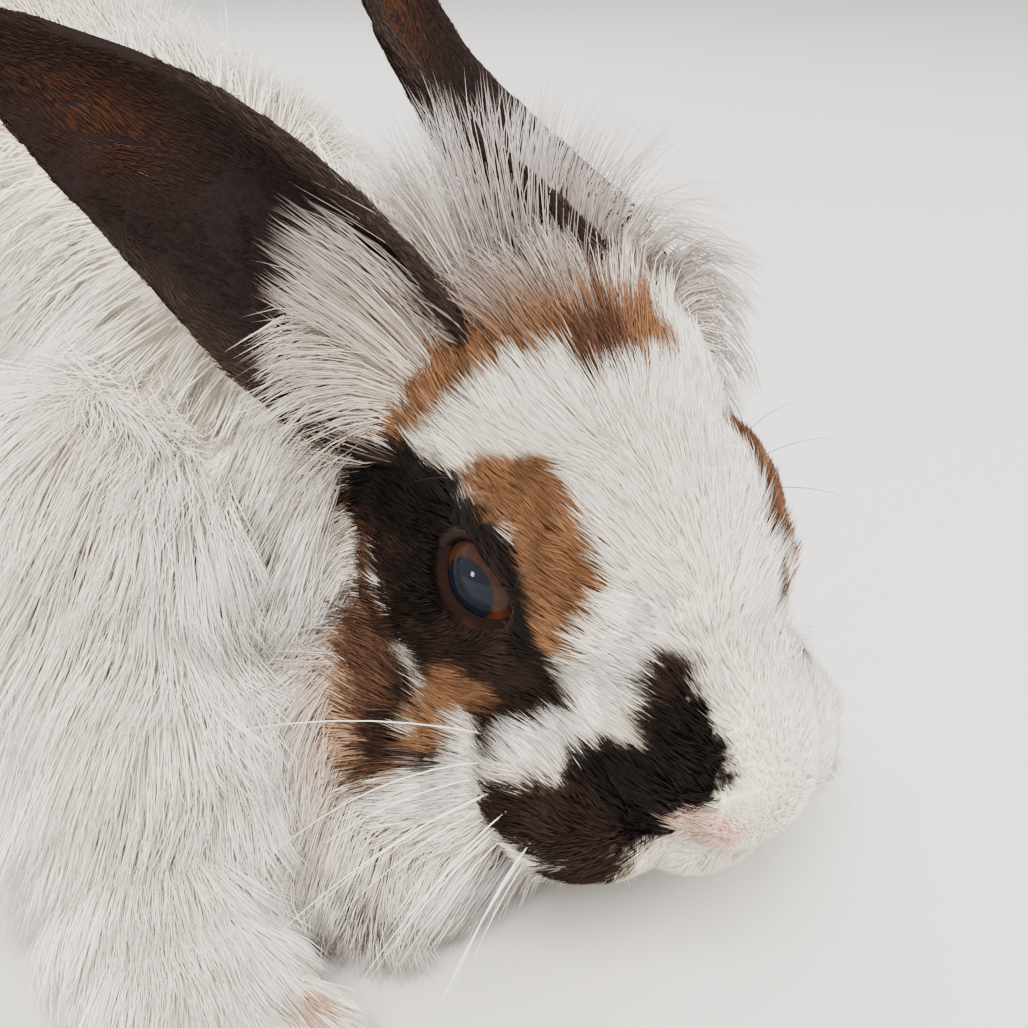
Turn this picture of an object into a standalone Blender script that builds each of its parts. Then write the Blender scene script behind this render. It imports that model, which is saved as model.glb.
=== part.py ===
"""A life-size lionhead rabbit, crouching with its head low and turned a little to its right.

Metres, +Z up. The rabbit faces -Y, its right side is at -X, and it stands on the floor at z = 0.
Each body part is its own closed mesh. The long coat is built as flat, tapered locks that are
rooted in the part they grow from.
"""

import math
import random

import bmesh
import bpy
from mathutils import Euler, Matrix, Vector
from mathutils.bvhtree import BVHTree

MM = 0.001
SEED = 11

# Where the head is: the point midway between the eyes, and how the head is turned.
EYE_LINE = Vector((4, -125, 60)) * MM
HEAD_PITCH = math.radians(33)
HEAD_YAW = math.radians(-9)
HEAD = (
    Matrix.Translation(EYE_LINE)
    @ Matrix.Rotation(HEAD_YAW, 4, "Z")
    @ Matrix.Rotation(HEAD_PITCH, 4, "X")
)

# Eyes, in the head's own frame: x to the rabbit's left, y backwards, z out of the crown.
EYE_RADIUS = 8.0 * MM
EYE_PLACE = Vector((18.2, -1, 1)) * MM
EYE_OUTWARD = Vector((1, -0.28, 0.16)).normalized()
LID_OFFSET = 4.2 * MM
LID_RING = 7.5 * MM
LID_THICK = 1.4 * MM

# Ears.
EAR_LENGTH = 84 * MM
EAR_WIDTH = 33 * MM
EAR_THICK = 2.0 * MM
# Where each ear is rooted in the head, where it points and which way its opening looks. The right
# ear is laid out to the side, the left one is carried up.
EAR_POSE = {
    "right": (Vector((-16, 32.4, 4.2)), Vector((-0.62, 0.48, 0.62)), Vector((-0.52, -0.84, -0.18))),
    "left": (Vector((10, 36, 10)), Vector((-0.15, 0.60, 0.78)), Vector((0.50, -0.75, 0.35))),
}

# Colour and roughness of each kind of surface.
SURFACES = {
    "white_fur": ((0.78, 0.74, 0.70), 0.85),
    "dark_fur": ((0.05, 0.035, 0.03), 0.8),
    "eye": ((0.02, 0.010, 0.006), 0.15),
}

# Gaps between neighbouring parts.
CORE_GAP = 0.6 * MM
LOCK_GAP = 0.32 * MM
BELLY_CLEAR = 1.2 * MM
SLIVER = 0.0015 * MM
FUSE_TRIES = 12

# How far the tips of the coat stand out from each part's core, in millimetres.
COAT_DEPTH = {
    "torso": 11,
    "neck": 12,
    "tail": 9,
    "foreleg": 7,
    "forepaw": 0,
    "hindleg": 10,
    "hindfoot": 0,
    "head": 6,
}
# The plush of the feet is built solid, this much over the skin.
PLUSH = 3

# Locks of the coat.
LOCK_THICK = 2.6 * MM
LOCK_SINK = 4.5 * MM
LOCK_OUTLINE = (0.6, 0.95, 1.0, 0.72)
MANE_LENGTH = 36
COAT_LENGTH = 38

# Body masses: name, centre, half sizes and turn in degrees, in millimetres.
TORSO = (
    ("rump", (0, 92, 68), (56, 62, 56), (0, 0, 0)),
    ("barrel", (0, 30, 64), (52, 74, 50), (7, 0, 0)),
    ("shoulders", (0, -38, 56), (42, 46, 42), (8, 0, 0)),
    ("chest", (1, -66, 42), (34, 32, 32), (0, 0, 0)),
    ("belly", (0, 32, 32), (44, 90, 26), (0, 0, 0)),
)
NECK = (
    ("nape", (5, -84, 66), (30, 32, 28), (25, 0, 0)),
    ("bib", (4, -104, 35), (29, 24, 24), (10, 0, 0)),
)
TAIL = (
    ("dock", (0, 146, 54), (12, 14, 12), (0, 0, 0)),
    ("scut", (0, 156, 64), (14, 11, 17), (20, 0, 0)),
)
FORELEG = (
    ("upper_arm", (41, -58, 46), (17, 26, 30), (-20, 0, 0)),
    ("forearm", (46, -84, 27), (14, 20, 22), (-40, 0, 0)),
)
FOREPAW = (
    ("wrist", (52, -104, 13), (12, 14, 11), (0, 0, 0)),
    ("palm", (53, -115, 10), (13, 16, 10), (0, 0, 0)),
    ("toe_1", (45, -126, 7), (5, 10, 7), (0, 0, -8)),
    ("toe_2", (51, -129, 7), (5, 11, 7), (0, 0, -2)),
    ("toe_3", (57.5, -128, 7), (5, 11, 7), (0, 0, 4)),
    ("toe_4", (63, -123, 7), (5, 9, 7), (0, 0, 10)),
)
HINDLEG = (
    ("thigh", (46, 94, 48), (25, 46, 42), (0, 0, 0)),
    ("knee", (53, 58, 36), (18, 26, 27), (0, 0, 0)),
    ("hock", (52, 114, 19), (15, 24, 17), (0, 0, 0)),
)
HINDFOOT = (
    ("sole", (58, 62, 9), (14, 44, 11), (0, 0, 4)),
    ("toe_1", (48, 24, 7), (5.5, 14, 7), (0, 0, -4)),
    ("toe_2", (55, 20, 7), (5.5, 15, 7), (0, 0, 0)),
    ("toe_3", (62, 21, 7), (5.5, 15, 7), (0, 0, 3)),
    ("toe_4", (68.5, 26, 7), (5.5, 13, 7), (0, 0, 6)),
)
# Each foreleg is set to its own place, right and left, by this much.
FORELEG_SHIFT = {"right": Vector((-12, -4, 0)) * MM, "left": Vector((-5, 12, 0)) * MM}

# Head masses, in the head's own frame. Those in SKULL_SIDES are made on both sides.
SKULL = (
    ("cranium", (0, 16, 2), (24, 28, 23), (0, 0, 0)),
    ("forehead", (0, -4, 5), (21, 24, 19), (0, 0, 0)),
    ("bridge", (0, -22, -1), (16, 26, 16), (-8, 0, 0)),
    ("muzzle", (0, -26, -11), (23, 18, 14), (0, 0, 0)),
    ("nose", (0, -39, -11), (10, 8, 9), (0, 0, 0)),
    ("chin", (0, -22, -25), (12, 15, 8), (0, 0, 0)),
    ("throat", (0, 10, -20), (21, 26, 15), (0, 0, 0)),
)
SKULL_SIDES = (
    ("pad", (13, -28, -13), (15, 15, 12), (0, 0, 12)),
    ("cheek", (15, 5, -12), (16, 25, 18), (0, 0, 0)),
    ("brow", (15, 1, 9), (9, 13, 7), (0, 0, 0)),
)


def clear_scene():
    for obj in list(bpy.data.objects):
        bpy.data.objects.remove(obj)


def material(name, colour, roughness):
    made = bpy.data.materials.new(name)
    made.use_nodes = True
    shader = made.node_tree.nodes["Principled BSDF"]
    shader.inputs["Base Color"].default_value = (*colour, 1)
    shader.inputs["Roughness"].default_value = roughness
    shader.inputs["Metallic"].default_value = 0
    return made


def new_object(name, mesh, collection):
    obj = bpy.data.objects.new(name, mesh)
    collection.objects.link(obj)
    return obj


def mesh_from(bm, name):
    mesh = bpy.data.meshes.new(name)
    bm.to_mesh(mesh)
    bm.free()
    return mesh


def applied(obj):
    """Replaces the object's mesh by the mesh its modifiers make."""
    graph = bpy.context.evaluated_depsgraph_get()
    mesh = bpy.data.meshes.new_from_object(obj.evaluated_get(graph))
    obj.modifiers.clear()
    obj.data = mesh


def add_mass(bm, centre, half, turn, frame):
    turned = Euler([math.radians(t) for t in turn]).to_matrix().to_4x4()
    size = Matrix.Diagonal((*(Vector(half) * MM), 1))
    place = frame @ Matrix.Translation(Vector(centre) * MM) @ turned @ size
    bmesh.ops.create_icosphere(bm, subdivisions=4, radius=1, matrix=place)


def mirrored(centre, turn, side):
    return (centre[0] * side, *centre[1:]), (turn[0], turn[1] * side, turn[2] * side)


def flesh(name, masses, plush, voxel, smooths, triangles, collection, frame=None, side=1):
    """Fuses ellipsoid masses, each let out by its plush, into one soft closed form."""
    bm = bmesh.new()
    for _, centre, half, turn in masses:
        centre, turn = mirrored(centre, turn, side)
        half = [h + plush for h in half]
        add_mass(bm, centre, half, turn, frame or Matrix.Identity(4))
    obj = new_object(name, mesh_from(bm, name), collection)
    fuse = obj.modifiers.new("fuse", "REMESH")
    fuse.mode = "VOXEL"
    fuse.voxel_size = voxel * MM
    soften = obj.modifiers.new("soften", "SMOOTH")
    soften.factor = 0.5
    soften.iterations = smooths
    applied(obj)
    thin_out(obj, triangles)
    return obj


def thin_out(obj, triangles):
    now = sum(len(p.vertices) - 2 for p in obj.data.polygons)
    if now > triangles:
        fewer = obj.modifiers.new("fewer", "DECIMATE")
        fewer.ratio = triangles / now
        applied(obj)


def grown(obj, gap, collection):
    """A copy whose surface stands out by gap, for cutting room round the original."""
    copy = new_object(obj.name + "_room", obj.data.copy(), collection)
    copy.hide_render = True
    copy.display_type = "WIRE"
    swell = copy.modifiers.new("swell", "DISPLACE")
    swell.mid_level = 0
    swell.strength = gap
    applied(copy)
    return copy


def boolean(obj, operation, collection, solver="MANIFOLD"):
    step = obj.modifiers.new(operation.lower(), "BOOLEAN")
    step.operation = operation
    step.operand_type = "COLLECTION"
    step.collection = collection
    step.solver = solver
    applied(obj)
    for used in list(collection.objects):
        bpy.data.objects.remove(used)
    keep_largest(obj)


def islands_of(bm):
    """The separate surfaces of a mesh, each as a list of faces."""
    unseen = set(bm.faces)
    islands = []
    for face in bm.faces:
        if face not in unseen:
            continue
        unseen.remove(face)
        stack = [face]
        island = []
        while stack:
            face = stack.pop()
            island.append(face)
            for edge in face.edges:
                for near in edge.link_faces:
                    if near in unseen:
                        unseen.remove(near)
                        stack.append(near)
        islands.append(island)
    return islands


def keep_largest(obj):
    """Keeps the closed surface that holds most volume, and drops scraps and sealed hollows."""
    bm = bmesh.new()
    bm.from_mesh(obj.data)
    bmesh.ops.dissolve_degenerate(bm, edges=bm.edges, dist=0.003 * MM)
    bmesh.ops.triangulate(bm, faces=bm.faces)
    islands = islands_of(bm)
    if len(islands) > 1:
        volumes = [sum(signed_volume(f) for f in island) for island in islands]
        best = volumes.index(max(volumes))
        dropped = [f for i, island in enumerate(islands) if i != best for f in island]
        bmesh.ops.delete(bm, geom=dropped, context="FACES")
    bm.to_mesh(obj.data)
    bm.free()


def faults_of(obj):
    """Where the surface isn't closed, or isn't in one piece, once its slivers are closed up."""
    bm = bmesh.new()
    bm.from_mesh(obj.data)
    bmesh.ops.remove_doubles(bm, verts=bm.verts, dist=SLIVER)
    bmesh.ops.dissolve_degenerate(bm, edges=bm.edges, dist=SLIVER)
    bmesh.ops.triangulate(bm, faces=bm.faces)
    spots = [(e.verts[0].co + e.verts[1].co) / 2 for e in bm.edges if len(e.link_faces) != 2]
    islands = sorted(islands_of(bm), key=len)
    spots += [island[0].calc_center_median() for island in islands[:-1]]
    bm.free()
    return spots[:3]


def signed_volume(face):
    a, b, c = (v.co for v in face.verts)
    return a.dot(b.cross(c)) / 6


def cut_round(obj, others, gap, cutters):
    for other in others:
        grown(other, gap, cutters)
    boolean(obj, "DIFFERENCE", cutters)


def cut_floor(obj, height, cutters):
    """Takes off what lies under the given height."""
    depth = 0.2
    bm = bmesh.new()
    place = Matrix.Translation((0, 0, height - depth / 2)) @ Matrix.Diagonal((1, 1, depth, 1))
    bmesh.ops.create_cube(bm, size=1, matrix=place)
    slab = new_object("floor_cutter", mesh_from(bm, "floor_cutter"), cutters)
    slab.hide_render = True
    boolean(obj, "DIFFERENCE", cutters)


def tube(name, points, radius, collection, frame):
    """A closed round tube along the points, as a mesh."""
    curve = bpy.data.curves.new(name, "CURVE")
    curve.dimensions = "3D"
    curve.bevel_depth = radius
    curve.bevel_resolution = 1
    curve.use_fill_caps = True
    spline = curve.splines.new("POLY")
    spline.points.add(len(points) - 1)
    for point, co in zip(spline.points, points):
        point.co = (*(frame @ (Vector(co) * MM)), 1)
    guide = new_object(name + "_curve", curve, collection)
    bpy.context.view_layer.update()
    graph = bpy.context.evaluated_depsgraph_get()
    mesh = bpy.data.meshes.new_from_object(guide.evaluated_get(graph))
    bm = bmesh.new()
    bm.from_mesh(mesh)
    bmesh.ops.remove_doubles(bm, verts=bm.verts, dist=0.01 * MM)
    bmesh.ops.recalc_face_normals(bm, faces=bm.faces)
    bm.to_mesh(mesh)
    bm.free()
    bpy.data.objects.remove(guide)
    return new_object(name, mesh, collection)


def facing(direction, up):
    """A turn that takes +Z to direction, and +Y as near to up as it can."""
    z = direction.normalized()
    x = up.cross(z).normalized()
    return Matrix((x, z.cross(x), z)).transposed().to_4x4()


def eye_frame(side):
    centre = Vector((EYE_PLACE.x * side, EYE_PLACE.y, EYE_PLACE.z))
    outward = Vector((EYE_OUTWARD.x * side, EYE_OUTWARD.y, EYE_OUTWARD.z))
    return HEAD @ Matrix.Translation(centre) @ facing(outward, Vector((0, 0, 1)))


def ball(name, frame, radius, collection, segments=18, rings=10):
    bm = bmesh.new()
    bmesh.ops.create_uvsphere(bm, u_segments=segments, v_segments=rings, radius=radius, matrix=frame)
    return new_object(name, mesh_from(bm, name), collection)


def lid_ring(side, collection):
    """The two lids as one almond rim that lies on the eyeball."""
    bpy.ops.mesh.primitive_torus_add(
        major_segments=20, minor_segments=5, major_radius=LID_RING, minor_radius=LID_THICK
    )
    ring = bpy.context.object
    ring.name = "lids"
    almond = Matrix.Diagonal((1.06, 0.94, 1.0, 1))
    ring.data.transform(eye_frame(side) @ Matrix.Translation((0, 0, LID_OFFSET)) @ almond)
    for owner in ring.users_collection:
        owner.objects.unlink(ring)
    collection.objects.link(ring)


def make_head(collection, cutters):
    masses = list(SKULL)
    for name, centre, half, turn in SKULL_SIDES:
        for side in (-1, 1):
            place, tilt = mirrored(centre, turn, side)
            masses.append((name, place, half, tilt))
    head = flesh("head", masses, 0, 1.6, 12, 1500, collection, HEAD)
    for side in (-1, 1):
        lid_ring(side, cutters)
    boolean(head, "UNION", cutters)
    for side in (-1, 1):
        ball("socket", eye_frame(side), EYE_RADIUS + LOCK_GAP, cutters)
        slit = HEAD @ Matrix.Translation(Vector((4.0 * side, -47, -10)) * MM)
        slit @= Euler((math.radians(20), 0, math.radians(35 * side))).to_matrix().to_4x4()
        ball("nostril", slit @ Matrix.Diagonal((0.9, 4, 2.4, 1)), MM, cutters, 10, 6)
        lip = ((0, -46, -22.5), (5, -42, -24.5), (11, -34, -24.5), (17, -24, -23), (21, -13, -22))
        tube("lip_line", [(x * side, y, z) for x, y, z in lip], 0.9 * MM, cutters, HEAD)
    tube("cleft", ((0, -49, -13), (0, -47, -18), (0, -45.5, -23)), 0.9 * MM, cutters, HEAD)
    boolean(head, "DIFFERENCE", cutters)
    return head


def ear_width(s):
    """Width of the ear along its length, as a share of EAR_WIDTH."""
    widths = (0.46, 0.74, 0.95, 1.0, 0.96, 0.85, 0.67, 0.42, 0.1)
    spot = max(0.0, min(s, 0.9999)) * (len(widths) - 1)
    i = int(spot)
    return widths[i] + (widths[i + 1] - widths[i]) * (spot - i)


def make_ear(name, root, along, opening, collection):
    """A cupped leaf: rolled at the root, open and flatter to the tip."""
    rows, columns = 12, 8
    sink = 9 * MM
    along = along.normalized()
    across = opening.cross(along).normalized()
    opening = along.cross(across)
    root = HEAD @ (root * MM)
    bm = bmesh.new()
    bmesh.ops.create_grid(bm, x_segments=columns, y_segments=rows, size=1)
    for vert in bm.verts:
        t = vert.co.x
        s = (vert.co.y + 1) / 2
        roll = math.radians(235 - 165 * min(1, s * 1.6))
        half = ear_width(s) * EAR_WIDTH / 2
        radius = half / max(0.3, math.sin(min(math.pi, roll) / 2))
        angle = t * roll / 2
        bow = 6 * MM * math.sin(math.pi * s)
        depth = radius * (1 - math.cos(angle))
        vert.co = (
            root
            + along * (s * (EAR_LENGTH + sink) - sink)
            + across * (radius * math.sin(angle))
            + opening * (depth - bow)
        )
    obj = new_object(name, mesh_from(bm, name), collection)
    wall = obj.modifiers.new("wall", "SOLIDIFY")
    wall.thickness = EAR_THICK
    wall.offset = 0
    applied(obj)
    bm = bmesh.new()
    bm.from_mesh(obj.data)
    bmesh.ops.triangulate(bm, faces=bm.faces)
    bmesh.ops.recalc_face_normals(bm, faces=bm.faces)
    bm.to_mesh(obj.data)
    bm.free()
    return obj


class Coat:
    """Grows locks on the parts, each clear of every part but its own."""

    def __init__(self, parts):
        self.chance = random.Random(SEED)
        self.parts = parts
        self.owners = []
        verts, faces = [], []
        self.cores = {}
        for obj in parts:
            start = len(verts)
            own_verts = [v.co.copy() for v in obj.data.vertices]
            own_faces = [list(p.vertices) for p in obj.data.polygons]
            verts += own_verts
            faces += [[start + i for i in f] for f in own_faces]
            self.owners += [obj.name] * len(own_faces)
            self.cores[obj.name] = BVHTree.FromPolygons(own_verts, own_faces)
        self.surface = BVHTree.FromPolygons(verts, faces)
        self.grown = {obj.name: [] for obj in parts}

    def vary(self, value, share=0.15):
        return value * self.chance.uniform(1 - share, 1 + share)

    def root_on_ray(self, centre, outward):
        """The outermost point of the body along a ray, its normal and its part."""
        point, normal, index, _ = self.surface.ray_cast(centre + outward * 0.25, -outward, 0.25)
        if point is None:
            return None
        return point, normal, self.owners[index]

    def hugging(self, root, normal, lie, length, height):
        """A path along the lie of the coat that climbs from the root to height at the tip."""
        back = (lie - normal * lie.dot(normal)).normalized()
        points = [root - normal * LOCK_SINK - back * LOCK_SINK * 0.4]
        normals = [normal]
        ground = root
        rings = 3
        for k in range(1, rings + 1):
            ahead = (lie - normal * lie.dot(normal)).normalized()
            ground, normal, _, _ = self.surface.find_nearest(ground + ahead * length / rings)
            points.append(ground + normal * height * (k / rings) ** 0.5)
            normals.append(normal)
        return points, normals

    def free(self, root, normal, start, pull, length, rings=4):
        """A path that leaves the body along start and bends steadily towards pull."""
        points = [root - normal * LOCK_SINK]
        normals = [normal]
        heading = start.normalized()
        spot = root
        for _ in range(rings):
            spot = spot + heading * length / rings
            points.append(spot)
            normals.append(normal)
            heading = (heading + pull / rings).normalized()
        return points, normals

    def grow(self, owner, points, normals, width):
        """Keeps the lock if it is clear of the floor and of every part but its owner."""
        rings = len(points) - 1
        if min(p.z for p in points[1:]) < 2.2 * MM:
            return False
        verts, faces = lock_form(points, normals, width + 2 * LOCK_GAP, LOCK_THICK + 2 * LOCK_GAP, rings)
        tree = BVHTree.FromPolygons(verts, faces)
        for name, core in self.cores.items():
            if name != owner and tree.overlap(core):
                return False
        middle = sum(points, Vector()) / len(points)
        for name, locks in self.grown.items():
            if name == owner:
                continue
            for other in locks:
                if (other["middle"] - middle).length < 0.06 and tree.overlap(other["tree"]):
                    return False
        form = lock_form(points, normals, width, LOCK_THICK, rings)
        own = BVHTree.FromPolygons(*form)
        self.grown[owner].append({"middle": middle, "tree": own, "form": form})
        return True

    def lay(self, centre, outward, lie, length, width, only=None):
        """Lays one lock flat along the coat, higher or shorter if something is in its way."""
        found = self.root_on_ray(centre, outward)
        if found is None or (only and found[2].split("_")[0] not in only):
            return
        root, normal, owner = found
        depth = COAT_DEPTH.get(owner.split("_")[0], 0)
        if not depth:
            return
        length = self.vary(length) * MM
        width = self.vary(width) * MM
        for lift, share in ((1, 1), (1.25, 0.9), (1.1, 0.7), (1, 0.5)):
            height = depth * lift * MM - LOCK_THICK / 2
            points, normals = self.hugging(root, normal, lie, length * share, height)
            if self.grow(owner, points, normals, width):
                return

    def stand(self, centre, outward, start, pull, length, width, only=None):
        """Grows one lock that stands away from the body."""
        found = self.root_on_ray(centre, outward)
        if found is None or (only and found[2].split("_")[0] not in only):
            return
        root, normal, owner = found
        length = self.vary(length) * MM
        width = self.vary(width) * MM
        for share, lean in ((1, 0), (0.9, 0.25), (0.75, 0.5), (0.6, 0.7)):
            leaning = start.normalized() + normal * lean
            points, normals = self.free(root, normal, leaning, pull, length * share)
            if self.grow(owner, points, normals, width):
                return

    def fuse(self, collection):
        """Unites each part with the locks that it carries.

        Surfaces that nearly touch can leave an unsound seam. The lock nearest to it is then
        left out and the part is made again.
        """
        for obj in self.parts:
            locks = self.grown[obj.name]
            core = obj.data
            for _ in range(FUSE_TRIES if locks else 0):
                obj.data = core.copy()
                for lock in locks:
                    mesh = bpy.data.meshes.new("lock")
                    mesh.from_pydata(lock["form"][0], [], lock["form"][1])
                    new_object("lock", mesh, collection)
                boolean(obj, "UNION", collection)
                faults = faults_of(obj)
                if not faults:
                    break
                for spot in faults:
                    near = min(locks, key=lambda lock: lock["tree"].find_nearest(spot)[3])
                    locks.remove(near)


def lock_form(points, normals, width, thick, rings):
    """One flat lock: a lens-shaped section that swells a little and tapers to a point."""
    verts, faces = [], []
    for k in range(rings):
        share = LOCK_OUTLINE[k if rings == 4 else min(3, k + (k > 1))]
        ahead = (points[k + 1] - points[k]).normalized()
        flat = ahead.cross(normals[k]).normalized()
        out = flat.cross(ahead).normalized()
        half = flat * width / 2 * share
        rise = out * thick / 2 * share
        verts += [points[k] + d for d in (half, rise, -half, -rise)]
    verts.append(points[rings])
    tip = len(verts) - 1
    faces += [[0, 1, 2], [0, 2, 3]]
    for k in range(rings - 1):
        low, high = 4 * k, 4 * k + 4
        for i in range(4):
            j = (i + 1) % 4
            faces += [[low + j, low + i, high + i], [low + j, high + i, high + j]]
    top = 4 * (rings - 1)
    for i in range(4):
        faces.append([top + (i + 1) % 4, top + i, tip])
    return verts, faces


def around(angle):
    """A direction square to +Y, turned by angle in degrees from straight up towards +X."""
    turn = math.radians(angle)
    return Vector((math.sin(turn), 0, math.cos(turn)))


def body_coat(coat):
    """Rows of locks round the body, which lie back along it and hang more on the flanks."""
    for row in range(9):
        station = -84 + 26 * row
        for step in range(10):
            angle = -103 + 22 * step + (5 if row % 2 else -5) + coat.chance.uniform(-4, 4)
            centre = Vector((0, station + coat.chance.uniform(-3, 3), 52)) * MM
            out = around(angle)
            lie = Vector((0.15 * out.x, 1, -0.25 - 0.75 * abs(out.x)))
            coat.lay(centre, out, lie, COAT_LENGTH, 15, ("neck", "torso", "hindleg", "foreleg"))


def limb_coat(coat):
    """Locks on the outer sides of the legs, below the rows of the body."""
    for side in (-1, 1):
        for kind, first, step_back in (("foreleg", -96, 17), ("hindleg", 58, 24)):
            for column in range(3):
                for row in range(2):
                    y = first + step_back * column + 5 * row
                    centre = Vector((20 * side, y, 24 + 18 * row)) * MM
                    lie = Vector((0, 0.45, -1))
                    coat.lay(centre, Vector((side, 0, 0)), lie, 24, 13, (kind,))


def rump_coat(coat):
    """Fans of locks over the rump, which hang down round the tail."""
    centre = Vector((0, 96, 62)) * MM
    for lean, count in ((28, 6), (55, 9)):
        for step in range(count):
            angle = -115 + 230 * step / (count - 1)
            share = math.radians(lean)
            out = Vector((0, math.cos(share), 0)) + around(angle) * math.sin(share)
            lie = Vector((0.5 * out.x, 0.3, -1))
            coat.lay(centre, out, lie, COAT_LENGTH - 4, 12, ("torso", "hindleg"))


def bib_coat(coat):
    """Locks of the bib and chest, which hang down under and beside the head."""
    centre = Vector((3, -88, 48)) * MM
    for lean, count in ((84, 12), (56, 8), (26, 4)):
        for step in range(count):
            angle = 180 + (step - (count - 1) / 2) * 260 / count
            share = math.radians(lean)
            out = Vector((0, -math.cos(share), 0)) + around(angle) * math.sin(share)
            lie = Vector((0.4 * out.x, 0.35, -1))
            coat.lay(centre, out, lie, 30, 15, ("neck", "torso", "foreleg"))


def mane_coat(coat):
    """The mane: rings of locks that stand out round the back of the head and the neck."""
    turn = HEAD.to_3x3()
    rings = ((20, 11, 0.45, ("head",)), (34, 11, 0.6, ("head", "neck")), (48, 9, 0.8, ("neck", "torso")))
    for station, count, back, kinds in rings:
        for step in range(count):
            angle = -150 + 300 * step / (count - 1) + coat.chance.uniform(-6, 6)
            out = around(angle)
            centre = HEAD @ Vector((0, station * MM, -5 * MM))
            start = turn @ (out + Vector((0, back, 0)))
            pull = Vector((0, 0.35, -1.1)) + (turn @ out) * 0.3
            coat.stand(centre, turn @ out, start, pull, MANE_LENGTH, 12, kinds)


def crown_coat(coat):
    """The tuft of long locks before and between the ears, which fans up and to both sides."""
    turn = HEAD.to_3x3()
    for row in range(3):
        for step in range(4):
            share = (step - 1.5) / 1.5
            centre = HEAD @ (Vector((9 * share, 14 + 9 * row, 0)) * MM)
            start = turn @ Vector((0.55 * share, 0.15 + 0.25 * row, 0.8))
            pull = turn @ Vector((0.9 * share + 0.2, 0.7, -0.3)) + Vector((0, 0, -0.5))
            coat.stand(centre, turn @ Vector((0, 0, 1)), start, pull, MANE_LENGTH - 3, 9, ("head",))


def cheek_coat(coat):
    """Shorter locks on the cheeks, swept back from the face, and a ruff that hangs under them."""
    turn = HEAD.to_3x3()
    for side in (-1, 1):
        for step in range(5):
            centre = HEAD @ (Vector((0, 10 + 3 * step, 6 - 8 * step)) * MM)
            out = turn @ Vector((side, 0, -0.1)).normalized()
            lie = turn @ Vector((0.15 * side, 1, -0.25))
            coat.lay(centre, out, lie, 22, 10, ("head",))
        for step in range(7):
            lean = 0.75 if step % 2 else 0.35
            centre = HEAD @ (Vector((6 * side, -8 + 6 * step, -12)) * MM)
            out = turn @ Vector((side, 0.1, -lean)).normalized()
            start = out * 0.5 + Vector((0.2 * side, 0, -0.6))
            pull = Vector((0.1 * side, 0.2, -1))
            coat.stand(centre, out, start, pull, 30, 12, ("head", "neck"))


def tail_coat(coat):
    """Locks of the tail, which point up and back."""
    centre = Vector((0, 152, 60)) * MM
    for step in range(7):
        angle = -120 + 240 * step / 6
        out = (around(angle) + Vector((0, 0.5, 0))).normalized()
        start = out * 0.7 + Vector((0, 0.3, 0.6))
        coat.stand(centre, out, start, Vector((0, 0.2, -0.2)), 15, 9, ("tail",))


def paint(built):
    """Gives each part a material of its own, by what it is covered with."""
    for obj in built:
        kind = obj.name.split("_")[0]
        surface = {"ear": "dark_fur", "eye": "eye"}.get(kind, "white_fur")
        colour, roughness = SURFACES[surface]
        obj.data.materials.clear()
        obj.data.materials.append(material(f"{obj.name}_{surface}", colour, roughness))


def centre_on_floor(built):
    """Moves everything so that the middle of its footprint is the origin."""
    spots = [v.co for obj in built for v in obj.data.vertices]
    low = [min(s[i] for s in spots) for i in range(3)]
    high = [max(s[i] for s in spots) for i in range(3)]
    shift = Vector((-(low[0] + high[0]) / 2, -(low[1] + high[1]) / 2, -low[2]))
    for obj in built:
        obj.data.transform(Matrix.Translation(shift))


def make_limb(name, plush, masses, triangles, side, collection):
    word = "right" if side < 0 else "left"
    return flesh(f"{name}_{word}", masses, plush, 2.5, 4, triangles, collection, None, side)


def main():
    clear_scene()
    scene = bpy.context.scene
    parts = bpy.data.collections.new("rabbit")
    scene.collection.children.link(parts)
    cutters = bpy.data.collections.new("cutters")
    scene.collection.children.link(cutters)

    torso = flesh("torso", TORSO, 0, 4, 6, 560, parts)
    cut_floor(torso, BELLY_CLEAR, cutters)
    head = make_head(parts, cutters)
    neck = flesh("neck", NECK, 0, 3, 5, 360, parts)
    cut_floor(neck, BELLY_CLEAR, cutters)
    cut_round(torso, (head,), CORE_GAP, cutters)
    tail = flesh("tail", TAIL, 0, 2.5, 4, 140, parts)
    cut_round(neck, (head, torso), CORE_GAP, cutters)
    cut_round(tail, (torso,), CORE_GAP, cutters)
    built = [head, neck, torso, tail]

    for side in (-1, 1):
        word = "right" if side < 0 else "left"
        leg = make_limb("foreleg", 0, FORELEG, 240, side, parts)
        paw = make_limb("forepaw", PLUSH, FOREPAW, 250, side, parts)
        for limb in (leg, paw):
            limb.data.transform(Matrix.Translation(FORELEG_SHIFT[word]))
        thigh = make_limb("hindleg", 0, HINDLEG, 260, side, parts)
        foot = make_limb("hindfoot", PLUSH, HINDFOOT, 280, side, parts)
        for limb in (leg, thigh):
            cut_floor(limb, BELLY_CLEAR, cutters)
        for limb in (paw, foot):
            cut_floor(limb, 0, cutters)
        cut_round(paw, (torso, neck, head, leg), CORE_GAP, cutters)
        cut_round(leg, (torso, neck, head), CORE_GAP, cutters)
        cut_round(foot, (torso, thigh), CORE_GAP, cutters)
        cut_round(thigh, (torso,), CORE_GAP, cutters)
        ear = make_ear(f"ear_{word}", *EAR_POSE[word], parts)
        cut_round(ear, (head, neck, torso), CORE_GAP, cutters)
        eye = ball(f"eye_{word}", eye_frame(side), EYE_RADIUS, parts)
        built += [leg, paw, thigh, foot, ear, eye]

    coat = Coat(built)
    for grow in (crown_coat, mane_coat, cheek_coat, bib_coat, tail_coat, rump_coat, body_coat, limb_coat):
        grow(coat)
    coat.fuse(cutters)
    for obj in built:
        obj.data.shade_flat()
    paint(built)
    centre_on_floor(built)
    bpy.data.collections.remove(cutters)


main()
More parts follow.
